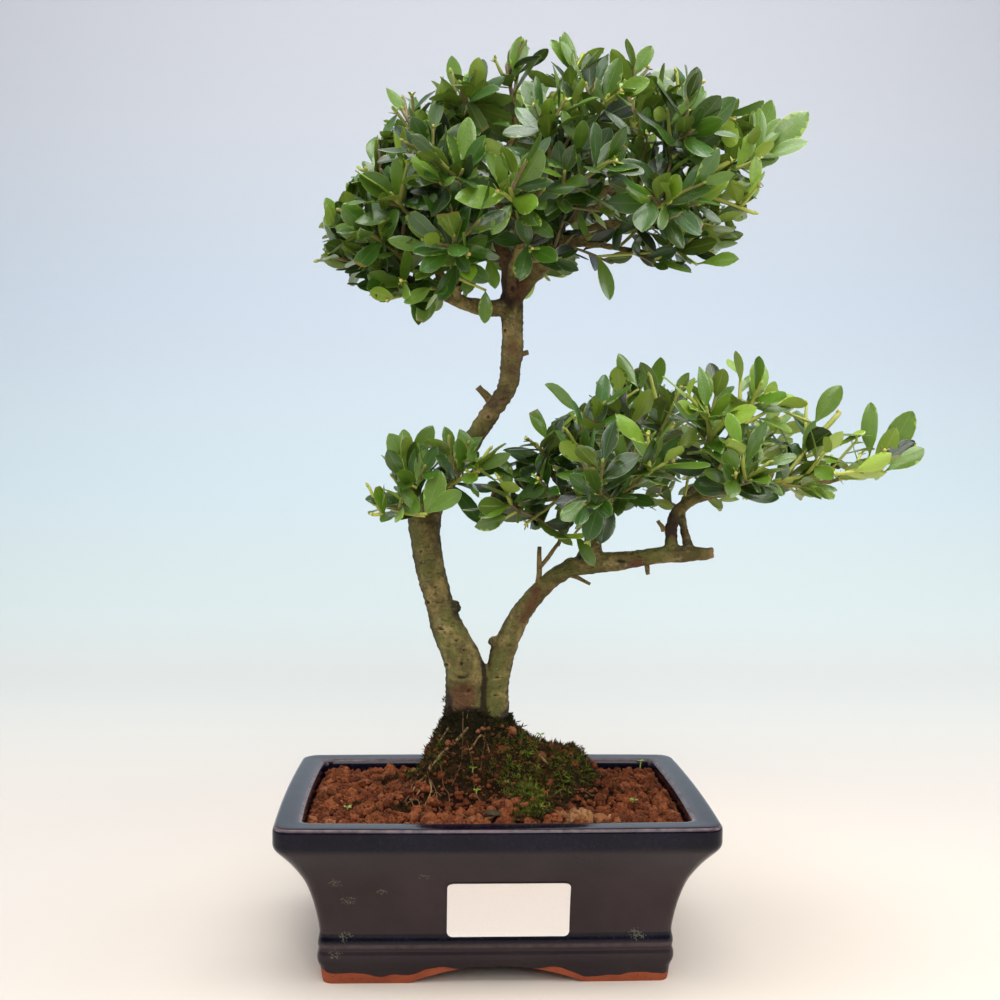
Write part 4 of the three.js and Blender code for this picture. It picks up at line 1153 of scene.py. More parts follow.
def bark_look():
    """Olive bark with darker and paler patches, algae, and what the tint paints on it."""
    look = Look("bark")
    algae_and_side_shade, red, dark, pale = look.tint()
    broad = look.noise(0.09, 5, 0.6)
    fine = look.noise(0.5, 6, 0.65, tall=0.85)
    spots = look.ramp(look.cells(0.42, tall=1.9), 0.0, 0.2, 1, 0)
    cracks = look.ramp(look.noise(0.6, 5, 0.7, tall=2.6), 0.33, 0.43, 1, 0)
    film = look.blend(look.noise(0.25, 4), (70, 78, 32), (116, 116, 58))
    base = look.coats(
        look.blend(look.ramp(broad, 0.35, 0.65), (94, 82, 42), (160, 141, 86)),
        (look.ramp(fine, 0.4, 0.75, 0, 0.75), (78, 63, 37)),
        (look.ramp(look.noise(0.14, 6, 0.7), 0.5, 0.64, 0, 0.62), (58, 46, 28)),
        (look.ramp(look.noise(0.2, 5, 0.65, tall=1.4), 0.56, 0.72, 0, 0.5), (176, 164, 128)),
        # This mask also carries painted shade on the faces turned left and to the front.
        (look.ragged(algae_and_side_shade, fine, 0.5, 0.45, 1.05, 0.8), film),
        (look.ragged(red, broad, 0.9, 0.65, 1.25, 0.75), (98, 58, 40)),
        # The dark mask paints dark bark patches and also painted shade: the limbs' sides, the cleft
        # between the limbs, the scars' pits and the foot.
        (look.ragged(dark, fine, 0.5, 0.5, 1.05, 0.9), (42, 30, 22)),
        (look.ragged(pale, fine, 0.3, 0.3, 0.8, 0.8), (166, 132, 92)),
        (look.calc("MULTIPLY", spots, 0.5), (172, 158, 122)),
        (look.calc("MULTIPLY", cracks, 0.5), (58, 44, 30)),
    )
    look.set(Base_Color=base, Roughness=0.8, Specular_IOR_Level=0.3)
    height = look.calc("SUBTRACT", look.noise(0.7, 7, 0.72), look.calc("MULTIPLY", cracks, 0.6))
    look.set(Normal=look.bump(height, 0.9))
    return look.material


# Leaves

# Leaf tips stand at most 2 or 3 mm past the frame's own box
FOLIAGE_LOW = (np.array(cad_box[0]) - SHIFT) * 1000 - (2, 2, 0)
FOLIAGE_HIGH = (np.array(cad_box[1]) - SHIFT) * 1000 + (2, 2, 3)

# The foliage's lower and upper outline as x and height, seen from the eye on the plane through
# the trunk
OUTLINES = {
    "crown": (
        [(-79, 298), (-72, 292), (-60, 288), (-50, 282), (-42, 282), (-38, 272), (-32, 272),
         (-25, 279), (-15, 279), (-10, 273), (5, 280), (28, 295), (47, 295), (58, 303), (70, 298),
         (87, 297), (93, 302), (104, 303), (110, 318), (114, 330), (118, 342), (126, 348),
         (138, 352)],
        [(-78, 300), (-76, 323), (-66, 334), (-61, 341), (-55, 353), (-50, 372), (-33, 374),
         (-27, 380), (-11, 389), (0, 392), (6, 398), (12, 400), (20, 394), (29, 400), (40, 398),
         (57, 398), (63, 392), (86, 387), (91, 375), (103, 373), (120, 372), (132, 367),
         (139, 364)],
    ),
    "pad": (
        [(-26, 186), (-11, 184), (4, 182), (14, 183), (20, 178), (32, 176), (35, 170), (44, 170),
         (48, 177), (62, 189), (67, 194), (99, 192), (131, 200), (148, 196), (153, 202), (175, 208),
         (180, 214), (191, 220)],
        [(-26, 198), (-12, 214), (-2, 219), (8, 224), (18, 229), (26, 234), (34, 241), (42, 250),
         (51, 258), (61, 258), (72, 262), (82, 256), (93, 258), (109, 265), (120, 256), (131, 246),
         (139, 247), (145, 235), (158, 229), (172, 229), (186, 232), (192, 223)],
    ),
    "trunk": (
        [(-59, 190), (-50, 186), (-39, 183), (-23, 183), (-15, 187), (5, 184)],
        [(-59, 200), (-54, 204), (-50, 212), (-47, 226), (-35, 229), (-11, 230), (5, 222)],
    ),
}


def fits(group, tip):
    """Whether a tip stays inside the foliage's outline and inside the frame's own size."""
    share = EYE[1] / (EYE[1] - tip[1])
    x, _, z = EYE + (tip - EYE) * share
    low, high = (np.array(line).T for line in OUTLINES[group])
    inside = low[0][0] <= x <= low[0][-1] and np.interp(x, *low) <= z <= np.interp(x, *high)
    return inside and np.all(tip >= FOLIAGE_LOW) and np.all(tip <= FOLIAGE_HIGH)


# A leaf's grid of points: shares of its length, and of its half width to either side
STATIONS = np.array([0, 0.05, 0.15, 0.3, 0.46, 0.62, 0.77, 0.89, 0.965, 1])
COLUMNS = np.array([-1, -0.52, 0, 0.52, 1])
ALONG, ACROSS = np.meshgrid(STATIONS, COLUMNS, indexing="ij")
GRID = np.arange(ALONG.size).reshape(ALONG.shape)
LEAF_TOP = grid_quads(GRID)[:, [0, 3, 2, 1]]
LEAF_UNDER = LEAF_TOP[:, ::-1] + ALONG.size


def half_width(share, taper):
    """Half the blade's width along it, from a short stalk to a blunt tip, 1 at the broadest."""
    blade = np.clip((share - 0.05) / 0.95, 0, 1)
    widest = taper / (taper + 0.7)
    most = widest ** taper * (1 - widest) ** 0.7
    return np.maximum(blade ** taper * (1 - blade) ** 0.7 / most, np.where(share < 0.2, 0.09, 0.04))


def add_leaf(shell, rng, root, along, up, length, width, curl, youth, tone):
    """One leaf: a thin curved blade with a grooved midrib, its upper face before its under face."""
    side = np.cross(up, along)
    clipped = 0.74 + 0.2 * rng.random() if rng.random() < 0.07 else 1.0
    fold = rng.uniform(0.05, 0.5)
    roll = rng.uniform(0.05, 0.4)
    twist = rng.normal(0, 0.16)
    bend = rng.normal(0, 0.035)
    wave = rng.uniform(0, 0.035)
    phase = rng.uniform(0, 6.3)
    share = ALONG * clipped
    reach = half_width(share, rng.uniform(0.85, 1.2)) * width / 2
    across = ACROSS * reach
    lift = (fold * abs(ACROSS) - roll * ACROSS ** 2) * reach
    lift = lift + wave * length * np.sin(7 * share + phase + ACROSS) * ACROSS ** 2
    angle = twist * share
    cosine, sine = np.cos(angle), np.sin(angle)
    across, lift = across * cosine - lift * sine, across * sine + lift * cosine
    lift = lift - curl * share ** 2 * length
    sway = bend * share ** 2 * length
    body = np.sqrt(np.clip(1 - ACROSS ** 2, 0, 1)) * np.clip(share * 12, 0.3, 1)
    rib = np.where(ACROSS == 0, 0.28 * (1 - share), 0)
    layers = []
    for height in (lift + 0.12 * body - 0.1 * (ACROSS == 0), lift - 0.14 * body - rib):
        layers.append(root + share[..., None] * length * along + (across + sway)[..., None] * side
                      + height[..., None] * up)
    points = np.vstack([layer.reshape(-1, 3) for layer in layers])
    place = np.stack([(ACROSS.ravel() + 1) / 2, ALONG.ravel()], -1)
    tint = np.zeros((len(points), 4))
    tint[:, 0] = tone
    tint[:, 1] = youth
    tint[:ALONG.size, 2] = 1
    tint[:, 3] = 1 if clipped < 1 else 0
    shell.add(points, LEAF_TOP, LEAF_UNDER, tint=tint, place=np.vstack([place, place]))


def leaned(axis, turn, lean):
    """The direction that leans away from an axis by an angle, on the side given by a turn."""
    across = UP - axis[2] * axis
    if np.linalg.norm(across) < 0.1:
        across = np.array([1.0, 0, 0]) - axis[0] * axis
    across = unit(across)
    third = np.cross(axis, across)
    out = across * math.cos(turn) + third * math.sin(turn)
    return axis * math.cos(lean) + math.sin(lean) * out


def leaf_up(axis, along):
    """The way the upper face of a leaf looks: up, and outwards along its shoot."""
    return square_to(axis + 0.8 * UP, along)


class Shoot:
    """A straight leafy shoot, with its leaves counted back from the tip."""

    def __init__(self, group, key, number, start, end, radius, leaves, scale):
        self.group, self.key, self.number, self.radius = group, key, number, radius
        self.start, self.end, self.leaves, self.scale = start, end, leaves, scale
        self.length = np.linalg.norm(end - start)
        self.axis = unit(end - start)
        self.outward = self.axis

    def leaf(self, j):
        """Where leaf j grows: its root, direction, length and curl."""
        back = LEAF_START + LEAF_SPACING * self.scale * j
        root = self.end - self.axis * min(back, self.length)
        turn = 2 * math.pi * draw(self.key, self.number, 0, TURN_DRAW) + j * LEAF_TURN
        lean = min(16 + 8 * j, 58) + 16 * draw(self.key, self.number, j, LEAN_DRAW)
        along = leaned(self.axis, turn, math.radians(lean))
        size = 0.88 + 0.24 * draw(self.key, self.number, j, SIZE_DRAW)
        length = LEAF_LENGTH * (0.8 if j == 0 else 1) * size * self.scale
        curl = 0.02 + 0.12 * draw(self.key, self.number, j, CURL_DRAW)
        return root, along, length, curl


def turned_in(group, foot, way, length):
    """A shoot's reach, turned up or shortened to keep its tip in the foliage, or None."""
    raised = unit(np.array([way[0], way[1], abs(way[2]) + 0.3]))
    for attempt, size in ((way, 1.0), (raised, 1.0), (way, 0.6), (raised, 0.6)):
        if fits(group, foot + attempt * length * size):
            return attempt * length * size
    return None


def side_shoots(index, group, branch):
    """Short side shoots along a branch. They turn up and out of the foliage they stand in."""
    shoots = []
    count = max(3, round(branch.length / SIDE_SPACING[group]))
    for number in range(1, count + 1):
        share = 0.12 + 0.74 * (number - 0.5 + 0.5 * draw(index, number, 0, SIDE_PLACE)) / count
        foot = branch.at(share)
        turn = number * LEAF_TURN + 2 * math.pi * draw(index, 0, 0, SIDE_TURN)
        lean = math.radians(46 + 22 * draw(index, number, 0, SIDE_LEAN))
        way = leaned(branch.direction(share), turn, lean)
        way = unit(way + 0.55 * UP + 0.3 * unit(foot - FOLIAGE_CENTRE[group]))
        length = (14 + 10 * draw(index, number, 0, SIDE_LENGTH)) * (1.15 - 0.5 * share)
        reach = turned_in(group, foot, way, length)
        scale = 0.7 + 0.2 * share + 0.22 * draw(index, number, 0, SIDE_SCALE)
        if reach is not None and clear_of_cuts(foot + reach):
            leaves = 4 if group == "trunk" or foot[0] > SPARSE_X else 6
            shoots.append(Shoot(group, index, number, foot, foot + reach, 0.95, leaves, scale))
    return shoots


def clear_of_cuts(tip):
    """Whether a shoot's tip leaves the thick trimmed shoots in view."""
    cuts = [np.array(row[3]) for row in SPRAYS if "_cut_" in row[0]]
    return all(np.linalg.norm(tip - cut_tip) > CUT_CLEARANCE for cut_tip in cuts)


def inner_shoots(name):
    """Leafy shoots straight from a limb, with small leaves, that fill the foliage from inside."""
    line = smooth_line(LIMBS[name], 2)
    steps = np.linalg.norm(np.diff(line[:, :3], axis=0), axis=1)
    travelled = np.concatenate([[0], np.cumsum(steps)])
    key = INNER_KEY + list(LIMBS).index(name)
    group = name.split("_")[0]
    shoots = []
    spots = np.arange(0.3 * travelled[-1] + 4, travelled[-1], INNER_SPACING[group])
    for number, spot in enumerate(spots, FIRST_INNER):
        foot, after, before = (
            np.array([np.interp(spot + ahead, travelled, line[:, axis]) for axis in range(3)])
            for ahead in (0, 3, -3)
        )
        turn = number * LEAF_TURN + 2 * math.pi * draw(key, 0, 0, INNER_TURN)
        lean = math.radians(58 + 20 * draw(key, number, 0, INNER_LEAN))
        way = leaned(unit(after - before), turn, lean)
        way = unit(way + 0.25 * unit(foot - FOLIAGE_CENTRE[group]) + 0.15 * UP)
        length = 15 + 14 * draw(key, number, 0, INNER_LENGTH)
        reach = turned_in(group, foot, way, length)
        scale = 0.58 + 0.26 * draw(key, number, 0, INNER_SCALE)
        if reach is not None:
            shoots.append(Shoot(group, key, number, foot, foot + reach, 0.75, 6, scale))
    return shoots


def shared_out(branches):
    """The inner shoots of every limb, each given to the spray whose branch is nearest."""
    lots = [[] for _ in branches]
    for name in LIMBS:
        if name in ("trunk", "right_limb"):
            continue
        for shoot in inner_shoots(name):
            gaps = [min(np.linalg.norm(branch.at(s) - shoot.start) for s in (0, 0.3, 0.6))
                    for branch in branches]
            lots[int(np.argmin(gaps))].append(shoot)
    return lots


def add_shoot(shell, rng, shoot, outer, cut=False):
    """The shoot's stem, buds and leaves. outer is how far out in the foliage it stands, 0 to 1."""
    line = []
    side = square_to(np.array([0.3, 0.2, 1]), shoot.axis)
    for s in np.linspace(0, 1, 7):
        sway = side * 0.35 * math.sin(5 * s + shoot.number)
        spot = shoot.start + (shoot.end - shoot.start) * s + sway
        line.append([*spot, shoot.radius * (1 - 0.3 * s)])
    fresher = FRESHNESS[shoot.group] + 0.36 * outer + 0.16 * (shoot.end[0] > FRESH_X)
    youth = min(max(rng.normal(fresher, 0.2), 0), 1)
    tint = (0.25 + 0.6 * youth, youth, 0, 0)
    add_twig(shell, line, 7, STEM_SLOT, tint, gnarl=0.25, key=shoot.key)
    if cut:
        add_cut_end(shell, rng, shoot)
    else:
        rows = ((-0.6, 0.5), (0, 0.75), (0.8, 0.7), (1.6, 0.2))
        bud = [[*(shoot.end + shoot.axis * d), r] for d, r in rows]
        add_twig(shell, bud, 6, STEM_SLOT, (0.8, youth, 0, 0), gnarl=0)
    # Leaves deeper in the foliage get a lower tone and show darker: painted shade, as if shaded by
    # the leaves round them.
    tone = rng.uniform(0.1, 0.95) * (0.22 + 0.78 * outer)
    missing = (3 if shoot.radius > 1.2 else 1) if cut else 0
    for j in range(missing, shoot.leaves):
        root, along, length, curl = shoot.leaf(j)
        facing = 0.5 * shoot.axis + shoot.outward * (0.3, 0.7, 0.4) + 0.35 * UP
        facing = facing + rng.normal(0, 0.42, 3)
        age = np.clip(youth * (1 - 0.09 * j) + rng.normal(0, 0.1), 0, 1)
        tone_here = np.clip(tone + rng.normal(0, 0.16), 0, 1)
        share = rng.uniform(0.64, 0.94)
        for way, size in ((along, 1.0), (unit(along + 0.5 * UP), 0.95)):
            tip = root + way * length * size
            if fits(shoot.group, tip) and not far_right_gap(tip):
                up = square_to(facing, way)
                width = length * size * LEAF_SLENDERNESS * share
                add_leaf(shell, rng, root, way, up, length * size, width, curl, age, tone_here)
                break


# Where the sky shows between the leaves at the pad's far right end: place and reach
GAPS = [
    ((176, -8, 222), 5), ((167, -8, 224), 4), ((155, -8, 222), 6), ((146, -8, 228), 5),
    ((154, -8, 232), 6),
]


def far_right_gap(tip):
    """Whether a leaf would close a gap that shows the sky."""
    return any(np.hypot(tip[0] - at[0], tip[2] - at[2]) < reach for at, reach in GAPS)


def add_cut_end(shell, rng, shoot):
    """A shoot trimmed flat, pale on the cut, with tiny new leaves breaking below it."""
    radius = shoot.radius * 0.78
    stump = [[*(shoot.end + shoot.axis * d), radius] for d in (-0.4, 0.5, 0.9)]
    add_twig(shell, stump, 8, STEM_SLOT, (1, 0.9, 1, 0), gnarl=0.1, key=shoot.number)
    for i in range(3):
        way = leaned(shoot.axis, 2.1 * i + rng.uniform(0, 1), rng.uniform(0.5, 0.9))
        length = rng.uniform(2.4, 4.6)
        root = shoot.end - shoot.axis * rng.uniform(0.3, 1.5)
        if fits(shoot.group, root + way * length):
            up = leaf_up(shoot.axis, way)
            add_leaf(shell, rng, root, way, up, length, length * 0.4, 0.1, 1.0, 0.9)


# Single leaves that mark the outline: the spray, then where the leaf's stalk and its tip stand
LONE_LEAVES = [
    ("crown_top_middle", (6.3, 0, 379), (8.2, -1, 397)),
    ("crown_right_low_end", (42.4, -8, 302), (48.3, -8, 283.5)),
    ("crown_left_below", (-27, -22, 286), (-34.4, -24, 270.6)),
    ("crown_face_low", (-6, -14, 286), (-6.5, -15, 272)),
    ("crown_right_cut_far", (115, -6, 347), (133, -9, 365)),
    ("crown_right_cut_far", (114, -4, 347), (122.6, -2, 364)),
    ("crown_right_cut_far", (113, -5, 347), (111.5, -6, 368)),
    ("crown_right_cut_far", (114, -8, 345), (131, -14, 352)),
    ("crown_right_low_end", (83, -20, 297.5), (99.5, -26, 300)),
    ("crown_right_low_end", (66, -16, 300), (80, -22, 293.5)),
    ("crown_right_cut_far", (113, -2, 353), (118, -2, 372)),
    ("crown_face_low", (-13, -14, 302), (-14, -16, 284)),
    ("crown_face_low", (-5, -18, 301), (-2, -20, 286)),
    ("crown_top_left", (-19, -2, 371), (-21, -4, 387)),
    ("crown_top_right", (32, 0, 383), (28, -2, 399)),
    ("crown_top_right", (31, 1, 383), (22, 0, 396)),
    ("crown_top_far_right", (57, 0, 380), (65, -2, 394)),
    ("crown_left_high", (-40, -1, 361), (-49, -3, 373)),
    ("crown_left_rear", (-67, -5, 312), (-74, -8, 325)),
    ("pad_front_left", (33, -16, 183), (41, -18, 169)),
    ("pad_right_top", (137, -12, 231), (147, -14, 248)),
    ("pad_far_end", (169.5, -6, 214), (180.3, -9, 237.4)),
    ("pad_far_end", (168.1, -12, 210.4), (184, -14, 221.8)),
    ("pad_far_end", (162.6, -8, 217.3), (162.4, -10, 240.5)),
    ("pad_left_tip", (34.4, -14, 234), (20, -16, 247)),
    ("pad_middle_rise", (60, -14, 245), (51, -16, 260)),
    ("pad_left_tip", (21, -14, 222), (14, -15, 238)),
    ("trunk_left", (-31, -26, 190.4), (-24.1, -28, 209.2)),
    ("trunk_left", (-30, -27, 191.4), (-15.8, -29, 200.9)),
    ("trunk_left", (-31, -24, 190.3), (-41.8, -26, 203.1)),
    ("trunk_middle", (-35.1, -14, 203), (-46.3, -16, 224.9)),
    ("trunk_middle", (-34.5, -18, 202), (-30.2, -20, 218.4)),
    ("trunk_middle", (-36.4, -6, 213.8), (-28.3, -8, 228.6)),
    ("trunk_right", (-20.1, -8, 214), (-23.2, -10, 228)),
    ("trunk_right", (-9, -14, 210.1), (-17.2, -16, 226.6)),
    ("trunk_left", (-47.9, -20, 189.9), (-50.7, -22, 203.5)),
    ("trunk_right", (-14.1, -20, 210.2), (-2.3, -22, 215.3)),
]


# Shoots that carry the foliage out to its edge: the spray, then the tip
EDGE_SHOOTS = [
    ("crown_left_high", (-45, -2, 363)), ("crown_left_high", (-35, 5, 365)),
    ("crown_left_shoulder", (-52, -4, 350)), ("crown_left_shoulder", (-60, 2, 334)),
    ("crown_left_rear", (-71, -4, 322)), ("crown_left_rear", (-66, 8, 328)),
    ("crown_left_end", (-73, -10, 309)), ("crown_left_front", (-68, -18, 318)),
    ("crown_left_end", (-70, 4, 300)), ("crown_top_left", (-8, -8, 354)),
    ("crown_top_left", (-1, -20, 357)), ("pad_left_low", (12, -20, 187)),
    ("pad_left_low", (23, -16, 185)), ("pad_front_left", (38, -24, 180)),
    ("crown_top_left", (-24, -8, 372)), ("crown_top_left", (-12, -12, 376)),
    ("crown_top_left", (-19, 8, 374)), ("crown_right_top", (93, -2, 366)),
    ("crown_right_cut_far", (106, 2, 364)), ("crown_right_top", (99, -14, 360)),
    ("trunk_middle", (-41, -10, 216)), ("trunk_right", (-13, -16, 221)),
]


def edge_shoots(index, name, branch):
    """The spray's own shoots out to the foliage's edge, each from where its length fits best."""
    shares = np.linspace(0.2, 1, 30)
    tips = [np.array(tip, float) for spray, tip in EDGE_SHOOTS if spray == name]
    shoots = []
    for number, tip in enumerate(tips, FIRST_EDGE):
        lengths = [np.linalg.norm(branch.at(share) - tip) for share in shares]
        near = shares[int(np.argmin(np.abs(np.array(lengths) - EDGE_LENGTH)))]
        shoots.append(Shoot(name.split("_")[0], index, number, branch.at(near), tip, 1.0, 8, 0.98))
    return shoots


def add_lone_leaves(shell, rng, name, branch):
    for spray, root, tip in LONE_LEAVES:
        if spray != name:
            continue
        root, tip = np.array(root, float), np.array(tip, float)
        shares = np.linspace(0.3, 1, 30)
        near = min(shares, key=lambda share: np.linalg.norm(branch.at(share) - root))
        foot = branch.at(near)
        line = [[*(foot + (root - foot) * s), 0.75 - 0.15 * s] for s in np.linspace(0, 1, 6)]
        add_twig(shell, line, 7, STEM_SLOT, (0.85, 0.7, 0, 0), gnarl=0.2, key=3)
        along = unit(tip - root)
        length = np.linalg.norm(tip - root)
        up = square_to(np.array([0.25, -0.8, 0.7]), along)
        add_leaf(shell, rng, root, along, up, length, length * 0.45, 0.03, 0.5, 0.75)


def make_sprays(leaf, stem, branches):
    """One piece for each spray of the frame, with its leading, side, inner and edge shoots."""
    inner = shared_out(branches)
    for index, (row, branch) in enumerate(zip(SPRAYS, branches)):
        name = row[0]
        group = name.split("_")[0]
        rng = np.random.default_rng(SPRAY_SEED + index)
        shell = Shell()
        trimmed = "_cut_" in name
        radius = 1.55 if trimmed else 1.1
        start = branch.at(branch.bark_end)
        lead = Shoot(group, index, 0, start, branch.end, radius, LEAVES_PER_SPRAY, 1.08)
        add_shoot(shell, rng, lead, 1.0 if trimmed else 0.8, cut=trimmed)
        shoots = side_shoots(index, group, branch) + inner[index] + edge_shoots(index, name, branch)
        for shoot in shoots:
            away = (shoot.end - FOLIAGE_CENTRE[group]) / FOLIAGE_REACH[group]
            outer = np.clip(np.linalg.norm(away), 0, 1) ** 2
            shoot.outward = unit(away)
            add_shoot(shell, rng, shoot, outer, cut=outer > 0.45 and rng.random() < 0.35)
        add_lone_leaves(shell, rng, name, branch)
        finish_piece(shell.build("shoots_" + name, [leaf, stem]), "spray_" + name, slot="leaf")


def leaf_look():
    """Glossy blades, dark when old and yellow-green when young, with a paler rib, rim and back."""
    look = Look("leaf")
    tone, youth, upper, clipped = look.tint()
    across, along = look.place()
    off_rib = look.calc("ABSOLUTE", look.calc("SUBTRACT", across, 0.5))
    mottle = look.noise(0.35, 4, 0.6)
    # The tone is lower for leaves deep in the foliage, which paints shade on them; it also varies
    # at random.
    old = look.blend(tone, (5, 22, 3), (60, 108, 13))
    young = look.blend(tone, (94, 138, 22), (150, 182, 46))
    green = look.blend(look.ramp(youth, 0.2, 0.95), old, young)
    green = look.coats(
        green,
        (look.ramp(mottle, 0.35, 0.7, 0, 0.35), look.blend(0.5, green, (44, 74, 26))),
        (look.ramp(off_rib, 0.006, 0.03, 0.3, 0), (134, 162, 74)),
    )
    under = look.coats(
        look.blend(tone, (54, 78, 18), (138, 168, 52)),
        (look.ramp(youth, 0.2, 0.9), (164, 188, 76)),
        (look.ramp(off_rib, 0.01, 0.04, 0.4, 0), (168, 186, 106)),
    )
    burnt = look.calc("MULTIPLY", look.ragged(along, mottle, 0.1, 0.95, 1.02), clipped)
    face = look.coats(
        look.blend(upper, under, green),
        (look.ramp(off_rib, 0.455, 0.5, 0, 0.45), (176, 190, 104)),
        (look.calc("MULTIPLY", burnt, 0.7), (150, 122, 66)),
    )
    look.set(Base_Color=face, Specular_IOR_Level=0.5, Coat_Weight=0.5, Coat_Roughness=0.2)
    look.set(Roughness=look.ramp(look.noise(0.5, 4), 0.3, 0.7, 0.32, 0.48))
    look.set(Normal=look.bump(look.noise(1.1, 4, 0.6), 0.2))
    return look.material


def stem_look():
    look = Look("stem")
    green, youth, cut, _ = look.tint()
    grain = look.noise(0.8, 5, 0.6)
    woody = look.blend(grain, (98, 80, 52), (134, 116, 78))
    fresh = look.blend(youth, (118, 132, 52), (190, 194, 90))
    bark = look.blend(look.ramp(green, 0.3, 0.7), woody, fresh)
    look.set(Base_Color=look.blend(cut, bark, look.blend(grain, (232, 214, 140), (206, 176, 96))))
    look.set(Roughness=0.55, Normal=look.bump(grain, 0.15))
    return look.material


# Soil, moss and what lies on them

def inside_wall(x, y, room):
    return (abs(x) < POT_LENGTH / 2 - 12.6 - room) & (abs(y) < POT_DEPTH / 2 - 12.6 - room)


def ball(levels):
    """The points and triangles of a fine or a coarse ball of radius 1."""
    mesh = bmesh.new()
    bmesh.ops.create_icosphere(mesh, subdivisions=levels, radius=1)
    mesh.verts.ensure_lookup_table()
    points = np.array([v.co[:] for v in mesh.verts])
    faces = np.array([[v.index for v in f.verts] for f in mesh.faces])
    mesh.free()
    return points, faces


def turned(rng):
    """A random turn, as a 3 by 3 matrix."""
    basis, _ = np.linalg.qr(rng.normal(size=(3, 3)))
    return basis


def add_stone(shell, rng, centre, size, kind, tint, roughness=0.42, slot=0):
    """One rough lump: a ball dented and turned at random, its height the last part of its tint,
    which the soil's material uses to paint shade on its lower part.
    """
    points, faces = kind
    shape = points * rng.uniform(0.7, 1.2, 3)
    dents = 1 + roughness * lattice_noise(points * 1.2 + rng.uniform(0, 50, 3), 1.0, 5)
    dents += roughness * 0.8 * lattice_noise(points * 2.6 + rng.uniform(0, 50, 3), 1.0, 6)
    shape = (shape * dents[:, None]) @ turned(rng)
    tints = np.tile(np.array(tint, float), (len(points), 1))
    # Painted shade: the lump's lower part gets a low last value, which the soil's material darkens.
    tints[:, 3] = np.clip(0.55 + 0.8 * shape[:, 2], 0, 1)
    shell.add(shape * size + centre, faces, slot=slot, tint=tints)


def soil_bed(shell):
    """The bed: up the pot's inner wall, then in over the mound to a hole for the trunk."""
    wall = pot_outline(12.1, SOIL_LEVEL, *BED_STEPS)[:, :2]
    walls = ((25.85, 13.4), (17.85, 45), (12.9, 60))
    rings = [pot_outline(inset, z, *BED_STEPS) for inset, z in walls]
    for share in np.linspace(1, 0.14, 54):
        x, y = (np.array(TRUNK_SPOT, float) + (wall - TRUNK_SPOT) * share).T
        z = soil_height(x, y) - 2.2 + 0.9 * rough_noise(flat_points(x, y), 5, 60)
        rings.append(np.stack([x, y, z], -1))
    centre_ring = rings[-1].copy()
    centre_ring[:, 2] = 84
    # The bed's low last tint value makes the soil's material paint it dark: a dark sheet that
    # stands for the shade in the gaps between the granules.
    shell.add(*stack(rings + [centre_ring]), tint=(0.1, 0.3, 0, 0.1))


def from_trunk(x, y):
    return math.hypot(x - TRUNK_SPOT[0], y - TRUNK_SPOT[1])


def make_soil(soil):
    """The soil's bed with loose granules in two sizes, and a row of small ones along the wall."""
    rng = np.random.default_rng(SOIL_SEED)
    shell = Shell()
    soil_bed(shell)
    fine, coarse = ball(2), ball(1)
    for spacing, low, high, kind in ((4.3, 1.4, 2.7, fine), (2.5, 0.6, 1.3, coarse)):
        columns, rows = np.meshgrid(np.arange(-80, 80, spacing), np.arange(-52, 52, spacing))
        spots = np.stack([columns.ravel(), rows.ravel()], -1)
        spots = spots + rng.uniform(-0.45, 0.45, (columns.size, 2)) * spacing
        for x, y in spots:
            size = rng.uniform(low, high)
            mossy = float(moss_cover(np.array([x]), np.array([y]))[0]) > 0.1
            if kind is fine and (y < -34 or x < -55) and rng.random() < 0.35:
                size *= 1.15
            if (not inside_wall(x, y, size * 0.35) or from_trunk(x, y) < 14
                    or (mossy and rng.random() < 0.7)):
                continue
            z = float(soil_height(x, y)) + size * rng.uniform(-0.15, 0.6) - 0.3
            dark = 0.6 if soil_height(x, y) > 74 else 1.0
            tone, red = dark * rng.random(), dark * rng.random()
            tint = (tone, red, 1.0 if rng.random() < 0.03 else 0.0, 0)
            add_stone(shell, rng, (x, y, z), size, kind, tint, roughness=0.44)
    for x, y, _ in pot_outline(13.4, SOIL_LEVEL, 4, 48, 32):
        size = rng.uniform(0.9, 1.7)
        spot = (x, y, SOIL_LEVEL + rng.uniform(-0.6, 0.7))
        add_stone(shell, rng, spot, size, coarse, (0.6 * rng.random(), rng.random(), 0, 0))
    piece = shell.build("soil_granules", [soil], smooth=False)
    return finish_piece(piece, "soil", slot="soil")


def soil_look():
    look = Look("soil")
    tone, red, pale, above = look.tint()
    base = look.coats(
        look.blend(tone, (96, 46, 24), (184, 104, 60)),
        (look.calc("MULTIPLY", red, 0.5), (138, 66, 32)),
        (look.ramp(look.noise(0.8, 7, 0.75), 0.45, 0.62, 0, 0.8), (56, 26, 14)),
        (look.ramp(look.noise(1.8, 5), 0.54, 0.7, 0, 0.55), (190, 120, 74)),
        (look.calc("MULTIPLY", pale, 0.6), (190, 126, 84)),
        # Painted shade: the lower part of each granule and lump, and the bed under them, darkened.
        (look.ramp(above, 0.0, 0.75, 0.88, 0), (44, 18, 9)),
    )
    look.set(Base_Color=base, Roughness=0.93, Specular_IOR_Level=0.2)
    look.set(Normal=look.bump(look.noise(0.8, 8, 0.8), 2.2))
    return look.material


